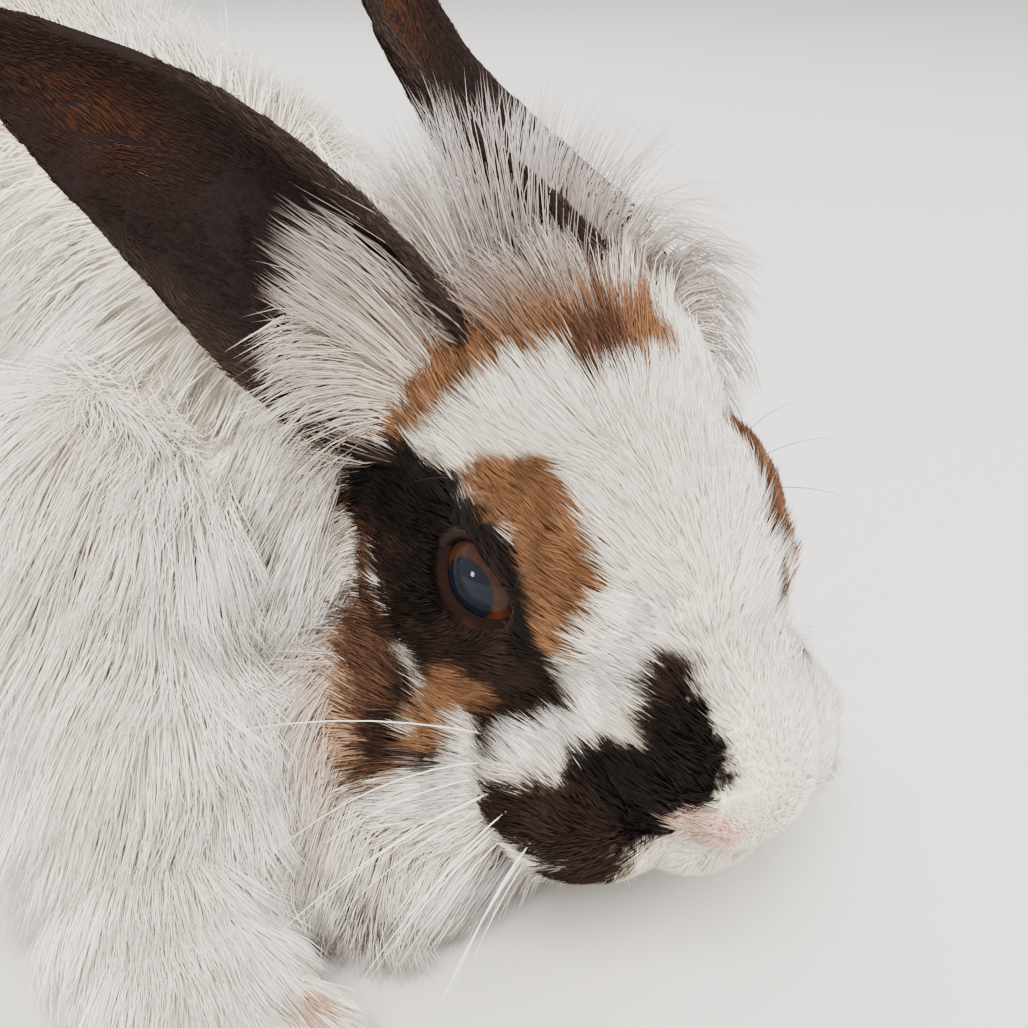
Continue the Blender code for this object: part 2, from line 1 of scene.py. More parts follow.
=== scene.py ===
"""The looks of a life-size lionhead rabbit that crouches with its head low.

One skin stands for all the parts of flesh. The coat is closed, tapered strands of mesh that are
rooted in that skin and combed along the lie of the coat. Skin and coat take their colours from
the same markings.

The rabbit faces -Y, its right side is at -X, and the floor is at z = 0. Sizes are in millimetres
where a name is multiplied by MM, and in metres where points are handled.
"""

import math

import bmesh
import bpy
import numpy as np
from mathutils import Euler, Matrix, Vector
from mathutils.bvhtree import BVHTree
from mathutils.kdtree import KDTree


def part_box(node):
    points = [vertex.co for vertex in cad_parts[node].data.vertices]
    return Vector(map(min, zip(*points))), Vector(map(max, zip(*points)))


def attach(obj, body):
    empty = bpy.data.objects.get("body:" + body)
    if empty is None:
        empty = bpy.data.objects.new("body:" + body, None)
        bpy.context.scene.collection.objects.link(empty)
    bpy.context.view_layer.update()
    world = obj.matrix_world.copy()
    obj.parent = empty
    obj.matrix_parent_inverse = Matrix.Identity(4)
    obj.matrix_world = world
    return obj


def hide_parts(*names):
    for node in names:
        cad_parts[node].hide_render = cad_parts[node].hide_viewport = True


MM = 0.001
SEED = 23

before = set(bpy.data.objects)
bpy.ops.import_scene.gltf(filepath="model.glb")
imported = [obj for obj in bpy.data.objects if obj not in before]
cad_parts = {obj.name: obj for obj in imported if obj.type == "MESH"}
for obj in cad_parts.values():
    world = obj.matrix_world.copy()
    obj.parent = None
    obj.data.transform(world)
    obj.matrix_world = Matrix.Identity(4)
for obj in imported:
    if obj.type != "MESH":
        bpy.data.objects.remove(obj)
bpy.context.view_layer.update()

# The head: its turn, and the eyes in the head's own frame, x left, y back, z out of the crown.
HEAD_PITCH = math.radians(33)
HEAD_YAW = math.radians(-9)
EYE_RADIUS = 8.0
EYE_PLACE = (18.2, -1, 1)
EYE_OUTWARD = (1, -0.28, 0.16)
LID_OFFSET = 4.2
LID_RING = 7.4
LID_THICK = 1.3

# The ears: a cupped leaf, rolled at the root.
EAR_LENGTH = 84
EAR_WIDTH = 33
EAR_THICK = 1.8
EAR_SINK = 9
# How far the leaf is rolled at its root and how much of that it loses, in degrees, and its bow.
EAR_ROLL = 235
EAR_UNROLL = 165
EAR_BOW = 6
EAR_WIDTHS = (0.46, 0.74, 0.95, 1.0, 0.96, 0.85, 0.67, 0.42, 0.1)
# Where each ear is rooted in the head, where it points and which way its opening looks.
EAR_POSE = {
    "right": ((-16, 32.4, 4.2), (-0.62, 0.48, 0.62), (-0.52, -0.84, -0.18)),
    "left": ((10, 36, 10), (-0.15, 0.60, 0.78), (0.50, -0.75, 0.35)),
}

# The photo's camera: where it stands from the point between the eyes, and how it looks.
VIEW_ANGLE = math.radians(42)
VIEW_AZIMUTH = math.radians(-28.1)
VIEW_HEIGHT = math.radians(25.2)
VIEW_DISTANCE = 198.9
VIEW_ASIDE = 13.9
VIEW_BELOW = -4.2
PHOTO_SIDE = 1028

# The point between the eyes in the body's frame, where the masses of the body are given.
EYE_LINE = (4, -125, 60)

# Masses of flesh: centre and half sizes in millimetres, and the turn in degrees of those that have one.
TORSO = (
    ((0, 92, 68), (56, 62, 56)),
    ((0, 30, 64), (52, 74, 50), (7, 0, 0)),
    ((0, -38, 56), (42, 46, 42), (8, 0, 0)),
    ((1, -66, 42), (34, 32, 32)),
    ((0, 32, 32), (44, 90, 26)),
)
NECK = (
    ((5, -84, 66), (30, 32, 28), (25, 0, 0)),
    ((4, -104, 35), (29, 24, 24), (10, 0, 0)),
)
TAIL = (
    ((0, 146, 54), (12, 14, 12)),
    ((0, 156, 64), (14, 11, 17), (20, 0, 0)),
)
FORELEG = (
    ((41, -58, 46), (17, 26, 30), (-20, 0, 0)),
    ((46, -84, 27), (14, 20, 22), (-40, 0, 0)),
)
FOREPAW = (
    ((52, -104, 13), (12, 14, 11)),
    ((53, -115, 10), (13, 16, 10)),
    ((45, -126, 7), (5, 10, 7), (0, 0, -8)),
    ((51, -129, 7), (5, 11, 7), (0, 0, -2)),
    ((57.5, -128, 7), (5, 11, 7), (0, 0, 4)),
    ((63, -123, 7), (5, 9, 7), (0, 0, 10)),
)
HINDLEG = (
    ((46, 94, 48), (25, 46, 42)),
    ((53, 58, 36), (18, 26, 27)),
    ((52, 114, 19), (15, 24, 17)),
)
HINDFOOT = (
    ((58, 62, 9), (14, 44, 11), (0, 0, 4)),
    ((48, 24, 7), (5.5, 14, 7), (0, 0, -4)),
    ((55, 20, 7), (5.5, 15, 7)),
    ((62, 21, 7), (5.5, 15, 7), (0, 0, 3)),
    ((68.5, 26, 7), (5.5, 13, 7), (0, 0, 6)),
)
FORELEG_SHIFT = {"right": (-12, -4, 0), "left": (-5, 12, 0)}
SKULL = (
    ((0, 16, 2), (24, 28, 23)),
    ((0, -4, 5), (21, 24, 19)),
    ((0, -22, -1), (16, 26, 16), (-8, 0, 0)),
    ((0, -26, -11), (23, 18, 14)),
    ((0, -39, -11), (10, 8, 9)),
    ((0, -22, -25), (12, 15, 8)),
    ((0, 10, -20), (21, 26, 15)),
)
SKULL_SIDES = (
    ((13, -28, -13), (15, 15, 12), (0, 0, 12)),
    ((15, 5, -12), (16, 25, 18)),
    ((15, 1, 9), (9, 13, 7)),
)
LIP = ((0, -46, -22.5), (5, -42, -24.5), (11, -34, -24.5), (17, -24, -23), (21, -13, -22))
CLEFT = ((0, -49, -13), (0, -47, -18), (0, -45.5, -23))

# How finely the skin is meshed, in millimetres.
BODY_VOXEL = 2.2
HEAD_VOXEL = 0.9
PAW_VOXEL = 1.3
# How deep the creases between the masses of the body are filled, in millimetres.
FILLING = 13
# Wool under the jaws, which fills the skin out between the head, the chest and the forelegs.
WOOL = (
    ((-15, -110, 27), (24, 22, 22)),
    ((20, -106, 27), (22, 22, 22)),
)

# Strands: where their rings are along the length, and how wide they are there.
STATIONS = {
    1: (0, 0.38, 1),
    2: (0, 0.24, 0.62, 1),
    3: (0, 0.16, 0.42, 0.72, 1),
    4: (0, 0.12, 0.32, 0.56, 0.79, 1),
}
SWELL = {1: (1.0,), 2: (1.0, 0.78), 3: (0.9, 1.0, 0.66), 4: (0.85, 1.0, 0.86, 0.55)}
ROOT_SINK = 0.8
# The level of the soles over the floor, and how far over the skin the markings are laid.
SOLE = 0.3
MARK_LIFT = 1.6
# Over how many millimetres the ways of two neighbouring parts blend.
BLEND = 5
# The head's own hair reaches this much further over its neighbours', in millimetres.
LEAD = {"head": 5}
PIECE_LIMIT = 190000
PATCH = 0.003

# Coat colours.
WHITE = "#F7F2EA"
CREAM = "#F0E3CD"
GREY_TIP = "#B3A9A7"
BLACK = "#120D0C"
DARK = "#281B16"
BROWN = "#54392B"
TAN = "#7D583C"
SAND = "#B39074"
PINK = "#DDBBAA"
SILVER = "#E4DEDA"
ROSY = "#A08781"
BROWN_TIP = "#8D7B72"
EAR_DARK = "#1F1918"
EAR_GREY = "#54463F"
EAR_RUST = "#6E3F26"
PUPIL = "#0D1119"
IRIS = "#2B1811"
# The next colour is painted light: the warm glow that the cornea gathers low in the iris.
IRIS_PAINTED_GLOW = "#7A4322"
EYE_EDGE = "#0E0807"
LID_DARK = "#1A110F"
LID_PALE = "#6B4E46"
WHISKER_WHITE = "#F2EEE8"
# The side of each eye's own frame that looks to the nose.
FRONT_SIDE = {"right": 1, "left": -1}
# Heights of the rows of whiskers on the pads in the head's frame, and their size.
WHISKER_ROWS = (-11, -14, -17, -20)
WHISKER_LENGTH = 48
WHISKER_THICK = 0.22
BROW_THICK = 0.15
# Where the right eye mirrors the window, in the eye's own frame, in eye radii, and how many
# metres away the window is.
CATCH_SPOT = (-0.05, 0.4, 0.92)
CATCH_AWAY = 0.55
# Nothing grows nearer than this to the middle of an eye, and the skin there is bare lid.
NO_HAIR = 9.2
BARE_LID = 9.4
# Hairs of the head longer than this stand as much farther apart, and so the mane isn't a helmet.
FULL_LENGTH = 13
# How hairs draw together: into tufts of so many hairs, and how strongly.
TUFTS = ((90, 0.4), (9, 0.55))

# The studio: its paper, its air's light, and its lamps with place, size, power and colour.
PAPER = "#CFCBC6"
AIR_COLOUR = (1.0, 0.985, 0.965, 1)
AIR_LIGHT = 1.5
LAMPS = (
    ("key_lamp", (-0.5, -0.7, 1.1), 0.7, 44, (1.0, 0.97, 0.93)),
    ("fill_lamp", (0.9, -0.6, 0.7), 0.9, 14, (0.94, 0.97, 1.0)),
    ("rim_lamp", (0.3, 1.0, 0.9), 0.8, 16, (1.0, 1.0, 1.0)),
)
CATCH_SIZE = 0.07
CATCH_POWER = 1.2

# Markings of the head, as strokes on the photo: colour, whether the other side has it too, and
# the stroke's points with its half width there, in pixels.
MARKS = (
    ("crown", TAN, False, ((400, 430, 22), (440, 375, 36), (515, 330, 36), (600, 325, 34), (655, 335, 30))),
    ("crown top", BROWN, False, ((440, 330, 30), (520, 290, 30), (600, 285, 30), (650, 300, 26))),
    ("crown wedge", BROWN, False, ((604, 340, 30), (594, 375, 15))),
    ("under the marks", DARK, True, ((400, 490, 50), (425, 600, 76), (500, 640, 76), (538, 560, 46))),
    ("cheek brown", BROWN, True, ((360, 470, 22), (360, 600, 34), (370, 690, 50), (370, 750, 40))),
    ("cheek sand", SAND, True, ((345, 640, 16), (325, 740, 26), (330, 800, 16))),
    ("eye surround", DARK, True, ((390, 500, 50), (410, 600, 66), (490, 680, 66), (540, 710, 40))),
    ("round the eye", DARK, True, ((468, 540, 52), (478, 610, 52))),
    ("black behind the eye", BLACK, True, ((375, 480, 34), (425, 500, 44), (462, 530, 36), (425, 590, 44))),
    ("tan before the eye", TAN, True, ((478, 478, 26), (535, 500, 40), (562, 580, 44), (552, 636, 30))),
    ("black corner", BLACK, True, ((500, 545, 12), (518, 600, 12), (530, 655, 20))),
    ("under the eye", DARK, True, ((420, 755, 20), (520, 720, 26))),
    ("dark streak", DARK, True, ((408, 640, 26), (400, 690, 14), (375, 760, 14))),
    ("cheek fill", DARK, True, ((432, 640, 20), (425, 665, 24))),
    ("cheek spot", TAN, True, ((425, 730, 20), (450, 690, 28), (470, 700, 24))),
    ("strip", WHITE, False, ((650, 620, 30), (605, 685, 34), (545, 735, 17), (470, 772, 14), (400, 815, 18))),
    ("nose top", DARK, False, ((672, 668, 22), (666, 720, 42))),
    ("nose black", BLACK, False, ((684, 730, 40), (690, 780, 46), (620, 805, 60))),
    ("muzzle dark", BLACK, False, ((620, 805, 60), (550, 835, 56))),
    ("muzzle brown", DARK, False, ((560, 825, 52), (490, 812, 32))),
    ("lower muzzle", DARK, False, ((600, 872, 38), (512, 860, 36))),
    ("other side", BROWN, False, ((752, 440, 12), (775, 520, 16), (785, 590, 14))),
    ("nose tip", PINK, False, ((705, 838, 34),)),
    ("upper lip", PINK, False, ((655, 872, 12), (612, 888, 9))),
    ("side spot", SAND, False, ((190, 578, 15), (194, 600, 10))),
    ("paw stain", SAND, False, ((285, 1008, 16), (315, 1000, 16))),
)
# How the long hair lies in the photo: the colour of its tips, whether the other side has it too, how
# far the guide's say reaches in millimetres, and its root, bend and tip in pixels. Bend and tip have
# a third number, how far they come towards the camera in millimetres.
GUIDES = (
    ("over the ear", BROWN_TIP, False, 8, (425, 350), (320, 250, 6), (200, 240, 8)),
    ("ear side", BROWN_TIP, False, 8, (440, 335), (350, 210, 5), (250, 110, 5)),
    ("crown left", GREY_TIP, False, 8, (482, 318), (415, 160, 3), (330, 10, 2)),
    ("crown", SILVER, False, 8, (532, 305), (485, 150, 2), (440, 60, 2)),
    ("crown tuft", GREY_TIP, False, 8, (572, 302), (560, 140, 2), (590, 0, 2)),
    ("crown right", GREY_TIP, False, 7, (594, 303), (610, 140, 0), (650, 30, 0)),
    ("arch", ROSY, False, 8, (625, 308), (685, 150, 2), (850, 205, 2)),
    ("low arch", ROSY, False, 7, (655, 320), (720, 225, 2), (800, 275, 2)),
    ("far temple", GREY_TIP, False, 8, (680, 348), (735, 305, 0), (765, 350, 0)),
    ("far cheek", GREY_TIP, False, 9, (705, 402), (775, 365, 0), (825, 400, 0)),
    ("far jaw", GREY_TIP, False, 9, (722, 452), (785, 430, 0), (815, 490, 0)),
    ("temple", BROWN_TIP, True, 8, (400, 375), (305, 365, 6), (225, 440, 8)),
    ("mane", GREY_TIP, True, 8, (345, 425), (295, 455, 4), (258, 530, 5)),
    ("low mane", SILVER, True, 9, (335, 500), (295, 560, 3), (268, 650, 4)),
    ("behind the cheek", GREY_TIP, True, 9, (338, 580), (300, 650, 3), (265, 740, 3)),
    ("cheek", BROWN_TIP, True, 9, (360, 660), (325, 740, 3), (290, 830, 3)),
    ("low cheek", CREAM, True, 9, (400, 730), (360, 810, 3), (325, 900, 3)),
    ("jaw", SILVER, True, 9, (450, 780), (405, 860, 2), (365, 940, 2)),
    ("lip", SILVER, True, 9, (510, 850), (475, 900, 2), (440, 950, 2)),
    ("chin", SILVER, True, 9, (585, 872), (570, 925, 0), (550, 958, 0)),
)
# The body's long hair, all of it white at the tips and alike on both sides.
BODY_GUIDES = (
    ("behind the ear", 20, (100, 350), (62, 420, 6), (20, 500, 5)),
    ("under the ear", 16, (180, 380), (145, 450, 6), (110, 530, 5)),
    ("withers", 20, (230, 430), (200, 510, 6), (165, 590, 4)),
    ("upper shoulder", 20, (150, 450), (112, 540, 6), (80, 630, 4)),
    ("side", 24, (50, 400), (20, 480, 6), (-10, 560, 4)),
    ("shoulder", 18, (230, 540), (205, 630, 6), (180, 720, 4)),
    ("shoulder point", 16, (290, 620), (250, 700, 5), (220, 790, 4)),
    ("upper leg", 18, (150, 650), (128, 740, 5), (105, 825, 4)),
    ("flank", 22, (50, 620), (28, 710, 6), (0, 790, 4)),
    ("chest", 16, (250, 720), (232, 800, 4), (205, 880, 4)),
    ("breast", 14, (320, 780), (305, 850, 3), (285, 925, 3)),
    ("leg", 12, (110, 800), (120, 860, 3), (140, 920, 3)),
    ("wrist", 9, (190, 880), (210, 920, 3), (235, 965, 3)),
    ("paw", 9, (260, 940), (285, 965, 2), (310, 990, 2)),
)


def linear(code):
    """An sRGB hex colour as three linear numbers."""
    parts = [int(code[i : i + 2], 16) / 255 for i in (1, 3, 5)]
    return np.array([p / 12.92 if p <= 0.04045 else ((p + 0.055) / 1.055) ** 2.4 for p in parts])


def smooth(start, end, value):
    """Goes softly from 0 at start to 1 at end."""
    share = np.clip((value - start) / (end - start), 0, 1)
    return share * share * (3 - 2 * share)


def unit(vectors):
    return vectors / np.maximum(np.linalg.norm(vectors, axis=-1, keepdims=True), 1e-9)


def ripple(points, wavelength, seed, channels=3):
    """Smooth made-up variation over space, about -1 to 1, with the given wavelength."""
    chance = np.random.default_rng(seed)
    total = np.zeros((len(points), channels))
    for _ in range(5):
        wave = unit(chance.normal(size=(channels, 3))) * (2 * math.pi / wavelength)
        wave *= chance.uniform(0.6, 1.5, size=(channels, 1))
        total += np.sin(points @ wave.T + chance.uniform(0, 6.3, size=channels))
    return total / 3


def new_object(name, mesh):
    obj = bpy.data.objects.new(name, mesh)
    bpy.context.scene.collection.objects.link(obj)
    return obj


def mesh_from(bm, name):
    mesh = bpy.data.meshes.new(name)
    bm.to_mesh(mesh)
    bm.free()
    return mesh


def final_mesh(obj):
    """The mesh that the object's modifiers or its curve make."""
    bpy.context.view_layer.update()
    graph = bpy.context.evaluated_depsgraph_get()
    return bpy.data.meshes.new_from_object(obj.evaluated_get(graph))


def applied(obj):
    """Replaces the object's mesh by the mesh that its modifiers make."""
    mesh = final_mesh(obj)
    obj.modifiers.clear()
    obj.data = mesh
    return obj


def turn_outward(mesh, merge=0):
    """Turns the faces outward, after points nearer than merge millimetres become one."""
    bm = bmesh.new()
    bm.from_mesh(mesh)
    if merge:
        bmesh.ops.remove_doubles(bm, verts=bm.verts, dist=merge * MM)
    bmesh.ops.recalc_face_normals(bm, faces=bm.faces)
    bm.to_mesh(mesh)
    bm.free()


def triangles_of(mesh):
    """Corner indices of the mesh's triangles, its points and its point normals, as arrays."""
    mesh.calc_loop_triangles()
    corners = np.empty(len(mesh.loop_triangles) * 3, np.int32)
    mesh.loop_triangles.foreach_get("vertices", corners)
    points = np.empty(len(mesh.vertices) * 3)
    mesh.vertices.foreach_get("co", points)
    normals = np.empty(len(mesh.vertices) * 3)
    mesh.vertices.foreach_get("normal", normals)
    return corners.reshape(-1, 3), points.reshape(-1, 3), normals.reshape(-1, 3)


def join_cut(obj, others, operation):
    """Adds closed forms to the object, or cuts them out of it."""
    for other in others:
        step = obj.modifiers.new("step", "BOOLEAN")
        step.operation = operation
        step.object = other
        step.solver = "MANIFOLD"
        applied(obj)
        bpy.data.objects.remove(other)
    return obj


# Frames: the head's own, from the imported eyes, and the body's.
def head_frame():
    turn = Matrix.Rotation(HEAD_YAW, 4, "Z") @ Matrix.Rotation(HEAD_PITCH, 4, "X")
    corners = [*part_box("eye_right"), *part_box("eye_left")]
    middle = sum(corners, Vector()) / 4
    origin = middle - turn @ (Vector((0, EYE_PLACE[1], EYE_PLACE[2])) * MM)
    return Matrix.Translation(origin) @ turn


HEAD = head_frame()
BODY = Matrix.Translation(HEAD.translation - Vector(EYE_LINE) * MM)


def to_frame(points, place):
    """Points in metres as millimetres in a frame."""
    back = np.array(place.inverted())
    return (points @ back[:3, :3].T + back[:3, 3]) / MM


def turned_by(vectors, place):
    return vectors @ np.array(place)[:3, :3].T


def masses_in(place, masses, side=1):
    """Each mass as its centre, axes and half sizes in metres, for the side it is on."""
    made = []
    for centre, half, *turned in masses:
        turn = turned[0] if turned else (0, 0, 0)
        centre = Vector((centre[0] * side, centre[1], centre[2])) * MM
        angles = [math.radians(t) for t in (turn[0], turn[1] * side, turn[2] * side)]
        axes = place.to_3x3() @ Euler(angles).to_matrix()
        made.append((np.array(place @ centre), np.array(axes), np.array(half) * MM))
    return made


def all_parts():
    """The masses of each body part, by name."""
    head = masses_in(HEAD, SKULL)
    for side in (-1, 1):
        head += masses_in(HEAD, SKULL_SIDES, side)
    parts = {
        "head": head,
        "neck": masses_in(BODY, NECK),
        "torso": masses_in(BODY, TORSO),
        "tail": masses_in(BODY, TAIL),
    }
    for word, side in (("right", -1), ("left", 1)):
        moved = BODY @ Matrix.Translation(Vector(FORELEG_SHIFT[word]) * MM)
        parts[f"foreleg_{word}"] = masses_in(moved, FORELEG, side)
        parts[f"forepaw_{word}"] = masses_in(moved, FOREPAW, side)
        parts[f"hindleg_{word}"] = masses_in(BODY, HINDLEG, side)
        parts[f"hindfoot_{word}"] = masses_in(BODY, HINDFOOT, side)
    return parts


PARTS = all_parts()
FLESH = [mass for masses in PARTS.values() for mass in masses] + masses_in(BODY, WOOL)


def clearance(points, masses):
    """How far each point is outside the masses, in metres, and the way out there."""
    nearest = np.full(len(points), 1e3)
    outward = np.zeros((len(points), 3))
    for centre, axes, half in masses:
        local = (points - centre) @ axes
        scale = np.linalg.norm(local / half, axis=1)
        slope = local / half**2
        steep = np.linalg.norm(slope, axis=1) + 1e-9
        distance = scale * (scale - 1) / steep
        closer = distance < nearest
        nearest[closer] = distance[closer]
        outward[closer] = (slope[closer] / steep[closer, None]) @ axes.T
    return nearest, outward


def fused(name, masses, voxel, smooths, filling=0):
    """One soft closed form of all the masses. The creases between them are filled by filling."""
    bm = bmesh.new()
    for centre, axes, half in masses:
        place = Matrix.Translation(Vector(centre)) @ Matrix(axes.tolist()).to_4x4()
        place @= Matrix.Diagonal((*(half + filling * MM), 1))
        bmesh.ops.create_icosphere(bm, subdivisions=5, radius=1, matrix=place)
    obj = new_object(name, mesh_from(bm, name))
    for shrink in (filling, 0) if filling else (0,):
        fuse = obj.modifiers.new("fuse", "REMESH")
        fuse.mode = "VOXEL"
        fuse.voxel_size = voxel * MM
        soften = obj.modifiers.new("soften", "SMOOTH")
        soften.factor = 0.5
        soften.iterations = smooths
        draw_in = obj.modifiers.new("draw_in", "DISPLACE")
        draw_in.mid_level = 0
        draw_in.strength = -shrink * MM
    return applied(obj)


def facing(direction, up):
    """A turn that takes +Z to direction, and +Y as near to up as it can."""
    z = Vector(direction).normalized()
    x = Vector(up).cross(z).normalized()
    return Matrix((x, z.cross(x), z)).transposed().to_4x4()


def eye_frame(side):
    centre = Vector((EYE_PLACE[0] * side, EYE_PLACE[1], EYE_PLACE[2])) * MM
    outward = Vector((EYE_OUTWARD[0] * side, EYE_OUTWARD[1], EYE_OUTWARD[2]))
    return HEAD @ Matrix.Translation(centre) @ facing(outward, (0, 0, 1))


def ball(name, place, segments=32, rings=20):
    bm = bmesh.new()
    bmesh.ops.create_uvsphere(bm, u_segments=segments, v_segments=rings, radius=1, matrix=place)
    return new_object(name, mesh_from(bm, name))


def curve_along(name, lines):
    """A curve with a straight-sided spline for each line of the head's frame."""
    curve = bpy.data.curves.new(name, "CURVE")
    curve.dimensions = "3D"
    for line in lines:
        spline = curve.splines.new("POLY")
        spline.points.add(len(line) - 1)
        for point, co in zip(spline.points, line):
            point.co = (*(HEAD @ (Vector(co) * MM)), 1)
    return new_object(name + "_lines", curve)


def solid_from(guide, name, merge):
    """A plain object with the guide's final mesh, closed and outward. The guide goes."""
    mesh = final_mesh(guide)
    guide.modifiers.clear()
    bpy.data.objects.remove(guide)
    turn_outward(mesh, merge)
    return new_object(name, mesh)


def tube(name, points, radius):
    """A closed round tube along points of the head's frame."""
    guide = curve_along(name, [points])
    guide.data.bevel_depth = radius
    guide.data.bevel_resolution = 3
    guide.data.use_fill_caps = True
    return solid_from(guide, name, 0.01)


def lid_ring(side):
    """The two lids as one almond rim that lies on the eyeball."""
    bpy.ops.mesh.primitive_torus_add(
        major_segments=48, minor_segments=12, major_radius=LID_RING * MM, minor_radius=LID_THICK * MM
    )
    ring = bpy.context.object
    almond = Matrix.Diagonal((1.06, 0.94, 1.0, 1))
    ring.data.transform(eye_frame(side) @ Matrix.Translation((0, 0, LID_OFFSET * MM)) @ almond)
    return ring


def head_skin():
    """The head's skin with lids, eye sockets, nostrils, the cleft of the nose and the mouth."""
    head = fused("head_skin", PARTS["head"], HEAD_VOXEL, 10)
    join_cut(head, [lid_ring(-1), lid_ring(1)], "UNION")
    cutters = [tube("cleft", CLEFT, 0.5 * MM)]
    for side in (-1, 1):
        socket = eye_frame(side) @ Matrix.Scale((EYE_RADIUS + 0.1) * MM, 4)
        cutters.append(ball("socket", socket, 48, 32))
        slit = HEAD @ Matrix.Translation(Vector((4.0 * side, -47, -10)) * MM)
        slit @= Euler((math.radians(20), 0, math.radians(35 * side))).to_matrix().to_4x4()
        cutters.append(ball("nostril", slit @ Matrix.Diagonal((0.8 * MM, 4 * MM, 2.2 * MM, 1))))
        cutters.append(tube("lip_line", [(x * side, y, z) for x, y, z in LIP], 0.5 * MM))
    return join_cut(head, cutters, "DIFFERENCE")


def ear_axes(word):
    root, along, opening = (np.array(v) for v in EAR_POSE[word])
    along = unit(along)
    across = unit(np.cross(opening, along))
    root = np.array(HEAD @ (Vector(root) * MM))
    return root, along, across, np.cross(along, across)


def ear_skin(word):
    """A cupped leaf: rolled at the root, open and flatter to the tip."""
    root, along, across, opening = ear_axes(word)
    bm = bmesh.new()
    bmesh.ops.create_grid(bm, x_segments=26, y_segments=48, size=1)
    shares = np.linspace(0, 1, len(EAR_WIDTHS))
    for vert in bm.verts:
        s = (vert.co.y + 1) / 2
        roll = math.radians(EAR_ROLL - EAR_UNROLL * min(1, s * 1.6))
        half = float(np.interp(s, shares, EAR_WIDTHS)) * EAR_WIDTH * MM / 2
        radius = half / max(0.3, math.sin(min(math.pi, roll) / 2))
        angle = vert.co.x * roll / 2
        bow = EAR_BOW * MM * math.sin(math.pi * s)
        reach = (s * (EAR_LENGTH + EAR_SINK) - EAR_SINK) * MM
        depth = radius * (1 - math.cos(angle)) - bow
        vert.co = root + along * reach + across * (radius * math.sin(angle)) + opening * depth
    obj = new_object(f"ear_{word}_skin", mesh_from(bm, "ear"))
    wall = obj.modifiers.new("wall", "SOLIDIFY")
    wall.thickness = EAR_THICK * MM
    wall.offset = 0
    applied(obj)
    turn_outward(obj.data)
    return obj


# The camera comes before the coat, because the coat is finest where the photo shows it.
def photo_camera():
    azimuth, height = VIEW_AZIMUTH, VIEW_HEIGHT
    right = Vector((math.cos(azimuth), math.sin(azimuth), 0))
    back = Vector((math.sin(azimuth), -math.cos(azimuth), 0)) * math.cos(height)
    back.z = math.sin(height)
    up = back.cross(right)
    turn = Matrix.Rotation(HEAD_YAW, 3, "Z")
    right, back, up = turn @ right, turn @ back, turn @ up
    data = bpy.data.cameras.new("photo_camera")
    data.sensor_width = 36
    data.lens = 18 / math.tan(VIEW_ANGLE / 2)
    data.clip_start = 0.01
    camera = bpy.data.objects.new("photo_camera", data)
    place = Matrix((right, up, back)).transposed().to_4x4()
    away = back * VIEW_DISTANCE - right * VIEW_ASIDE - up * VIEW_BELOW
    place.translation = HEAD.translation + away * MM
    camera.matrix_world = place
    bpy.context.scene.collection.objects.link(camera)
    bpy.context.scene.camera = camera
    return place


CAMERA = photo_camera()
FOCAL = PHOTO_SIDE / 2 / math.tan(VIEW_ANGLE / 2)


def in_photo(points, normals):
    """How much each spot shows in the photo's view, 0 to 1."""
    local = to_frame(points, CAMERA) * MM
    depth = np.maximum(-local[:, 2], 1e-6)
    reach = np.maximum(np.abs(local[:, 0]), np.abs(local[:, 1])) / depth
    edge = math.tan(VIEW_ANGLE / 2)
    toward = unit(np.array(CAMERA.translation) - points)
    facing_it = (toward * normals).sum(axis=1)
    ahead = local[:, 2] < 0
    return smooth(edge * 1.35, edge * 1.1, reach) * smooth(-0.55, -0.2, facing_it) * ahead


def photo_ray(x, y):
    """The way through a pixel of the photo, with one unit of depth."""
    return Vector(((x - PHOTO_SIDE / 2) / FOCAL, (PHOTO_SIDE / 2 - y) / FOCAL, -1))


class Markings:
    """The markings, as strokes laid on the skin through the pixels of the photo."""

    def __init__(self, skin):
        triangles, points, normals = triangles_of(skin.data)
        lifted = points + normals * MARK_LIFT * MM
        skin_tree = BVHTree.FromPolygons(lifted.tolist(), triangles.tolist())
        self.strokes = []
        origin = CAMERA.translation
        turn = CAMERA.to_3x3()
        home = HEAD.inverted()
        for _, colour, mirrored, points in MARKS:
            spots, widths = [], []
            for x, y, width in points:
                ray = photo_ray(x, y)
                hit, _, _, distance = skin_tree.ray_cast(origin, turn @ ray.normalized())
                if hit is None:
                    continue
                spots.append(np.array(home @ hit) / MM)
                widths.append(width * distance / ray.length / FOCAL / MM)
            for side in (1, -1) if mirrored else (1,):
                flip = np.array((side, 1, 1))
                self.strokes.append((linear(colour), [s * flip for s in spots], widths))

    def paint(self, points, colours, ragged):
        """Lays the strokes over the colours of points given in the head's frame."""
        wander = ripple(points, 7, 5, 1)[:, 0] * 1.1 + ripple(points, 2.5, 6, 1)[:, 0] * 0.5 + ragged
        for colour, spots, widths in self.strokes:
            best = np.full(len(points), -1e3)
            pairs = list(zip(spots, widths))
            for (a, ra), (b, rb) in zip(pairs, pairs[1:] or pairs):
                run = b - a
                share = np.clip(((points - a) @ run) / max(run @ run, 1e-9), 0, 1)
                away = np.linalg.norm(points - a - share[:, None] * run, axis=1)
                best = np.maximum(best, ra + (rb - ra) * share - away)
            strength = smooth(-0.9, 0.9, best + wander)
            colours += (colour - colours) * strength[:, None]
        return colours


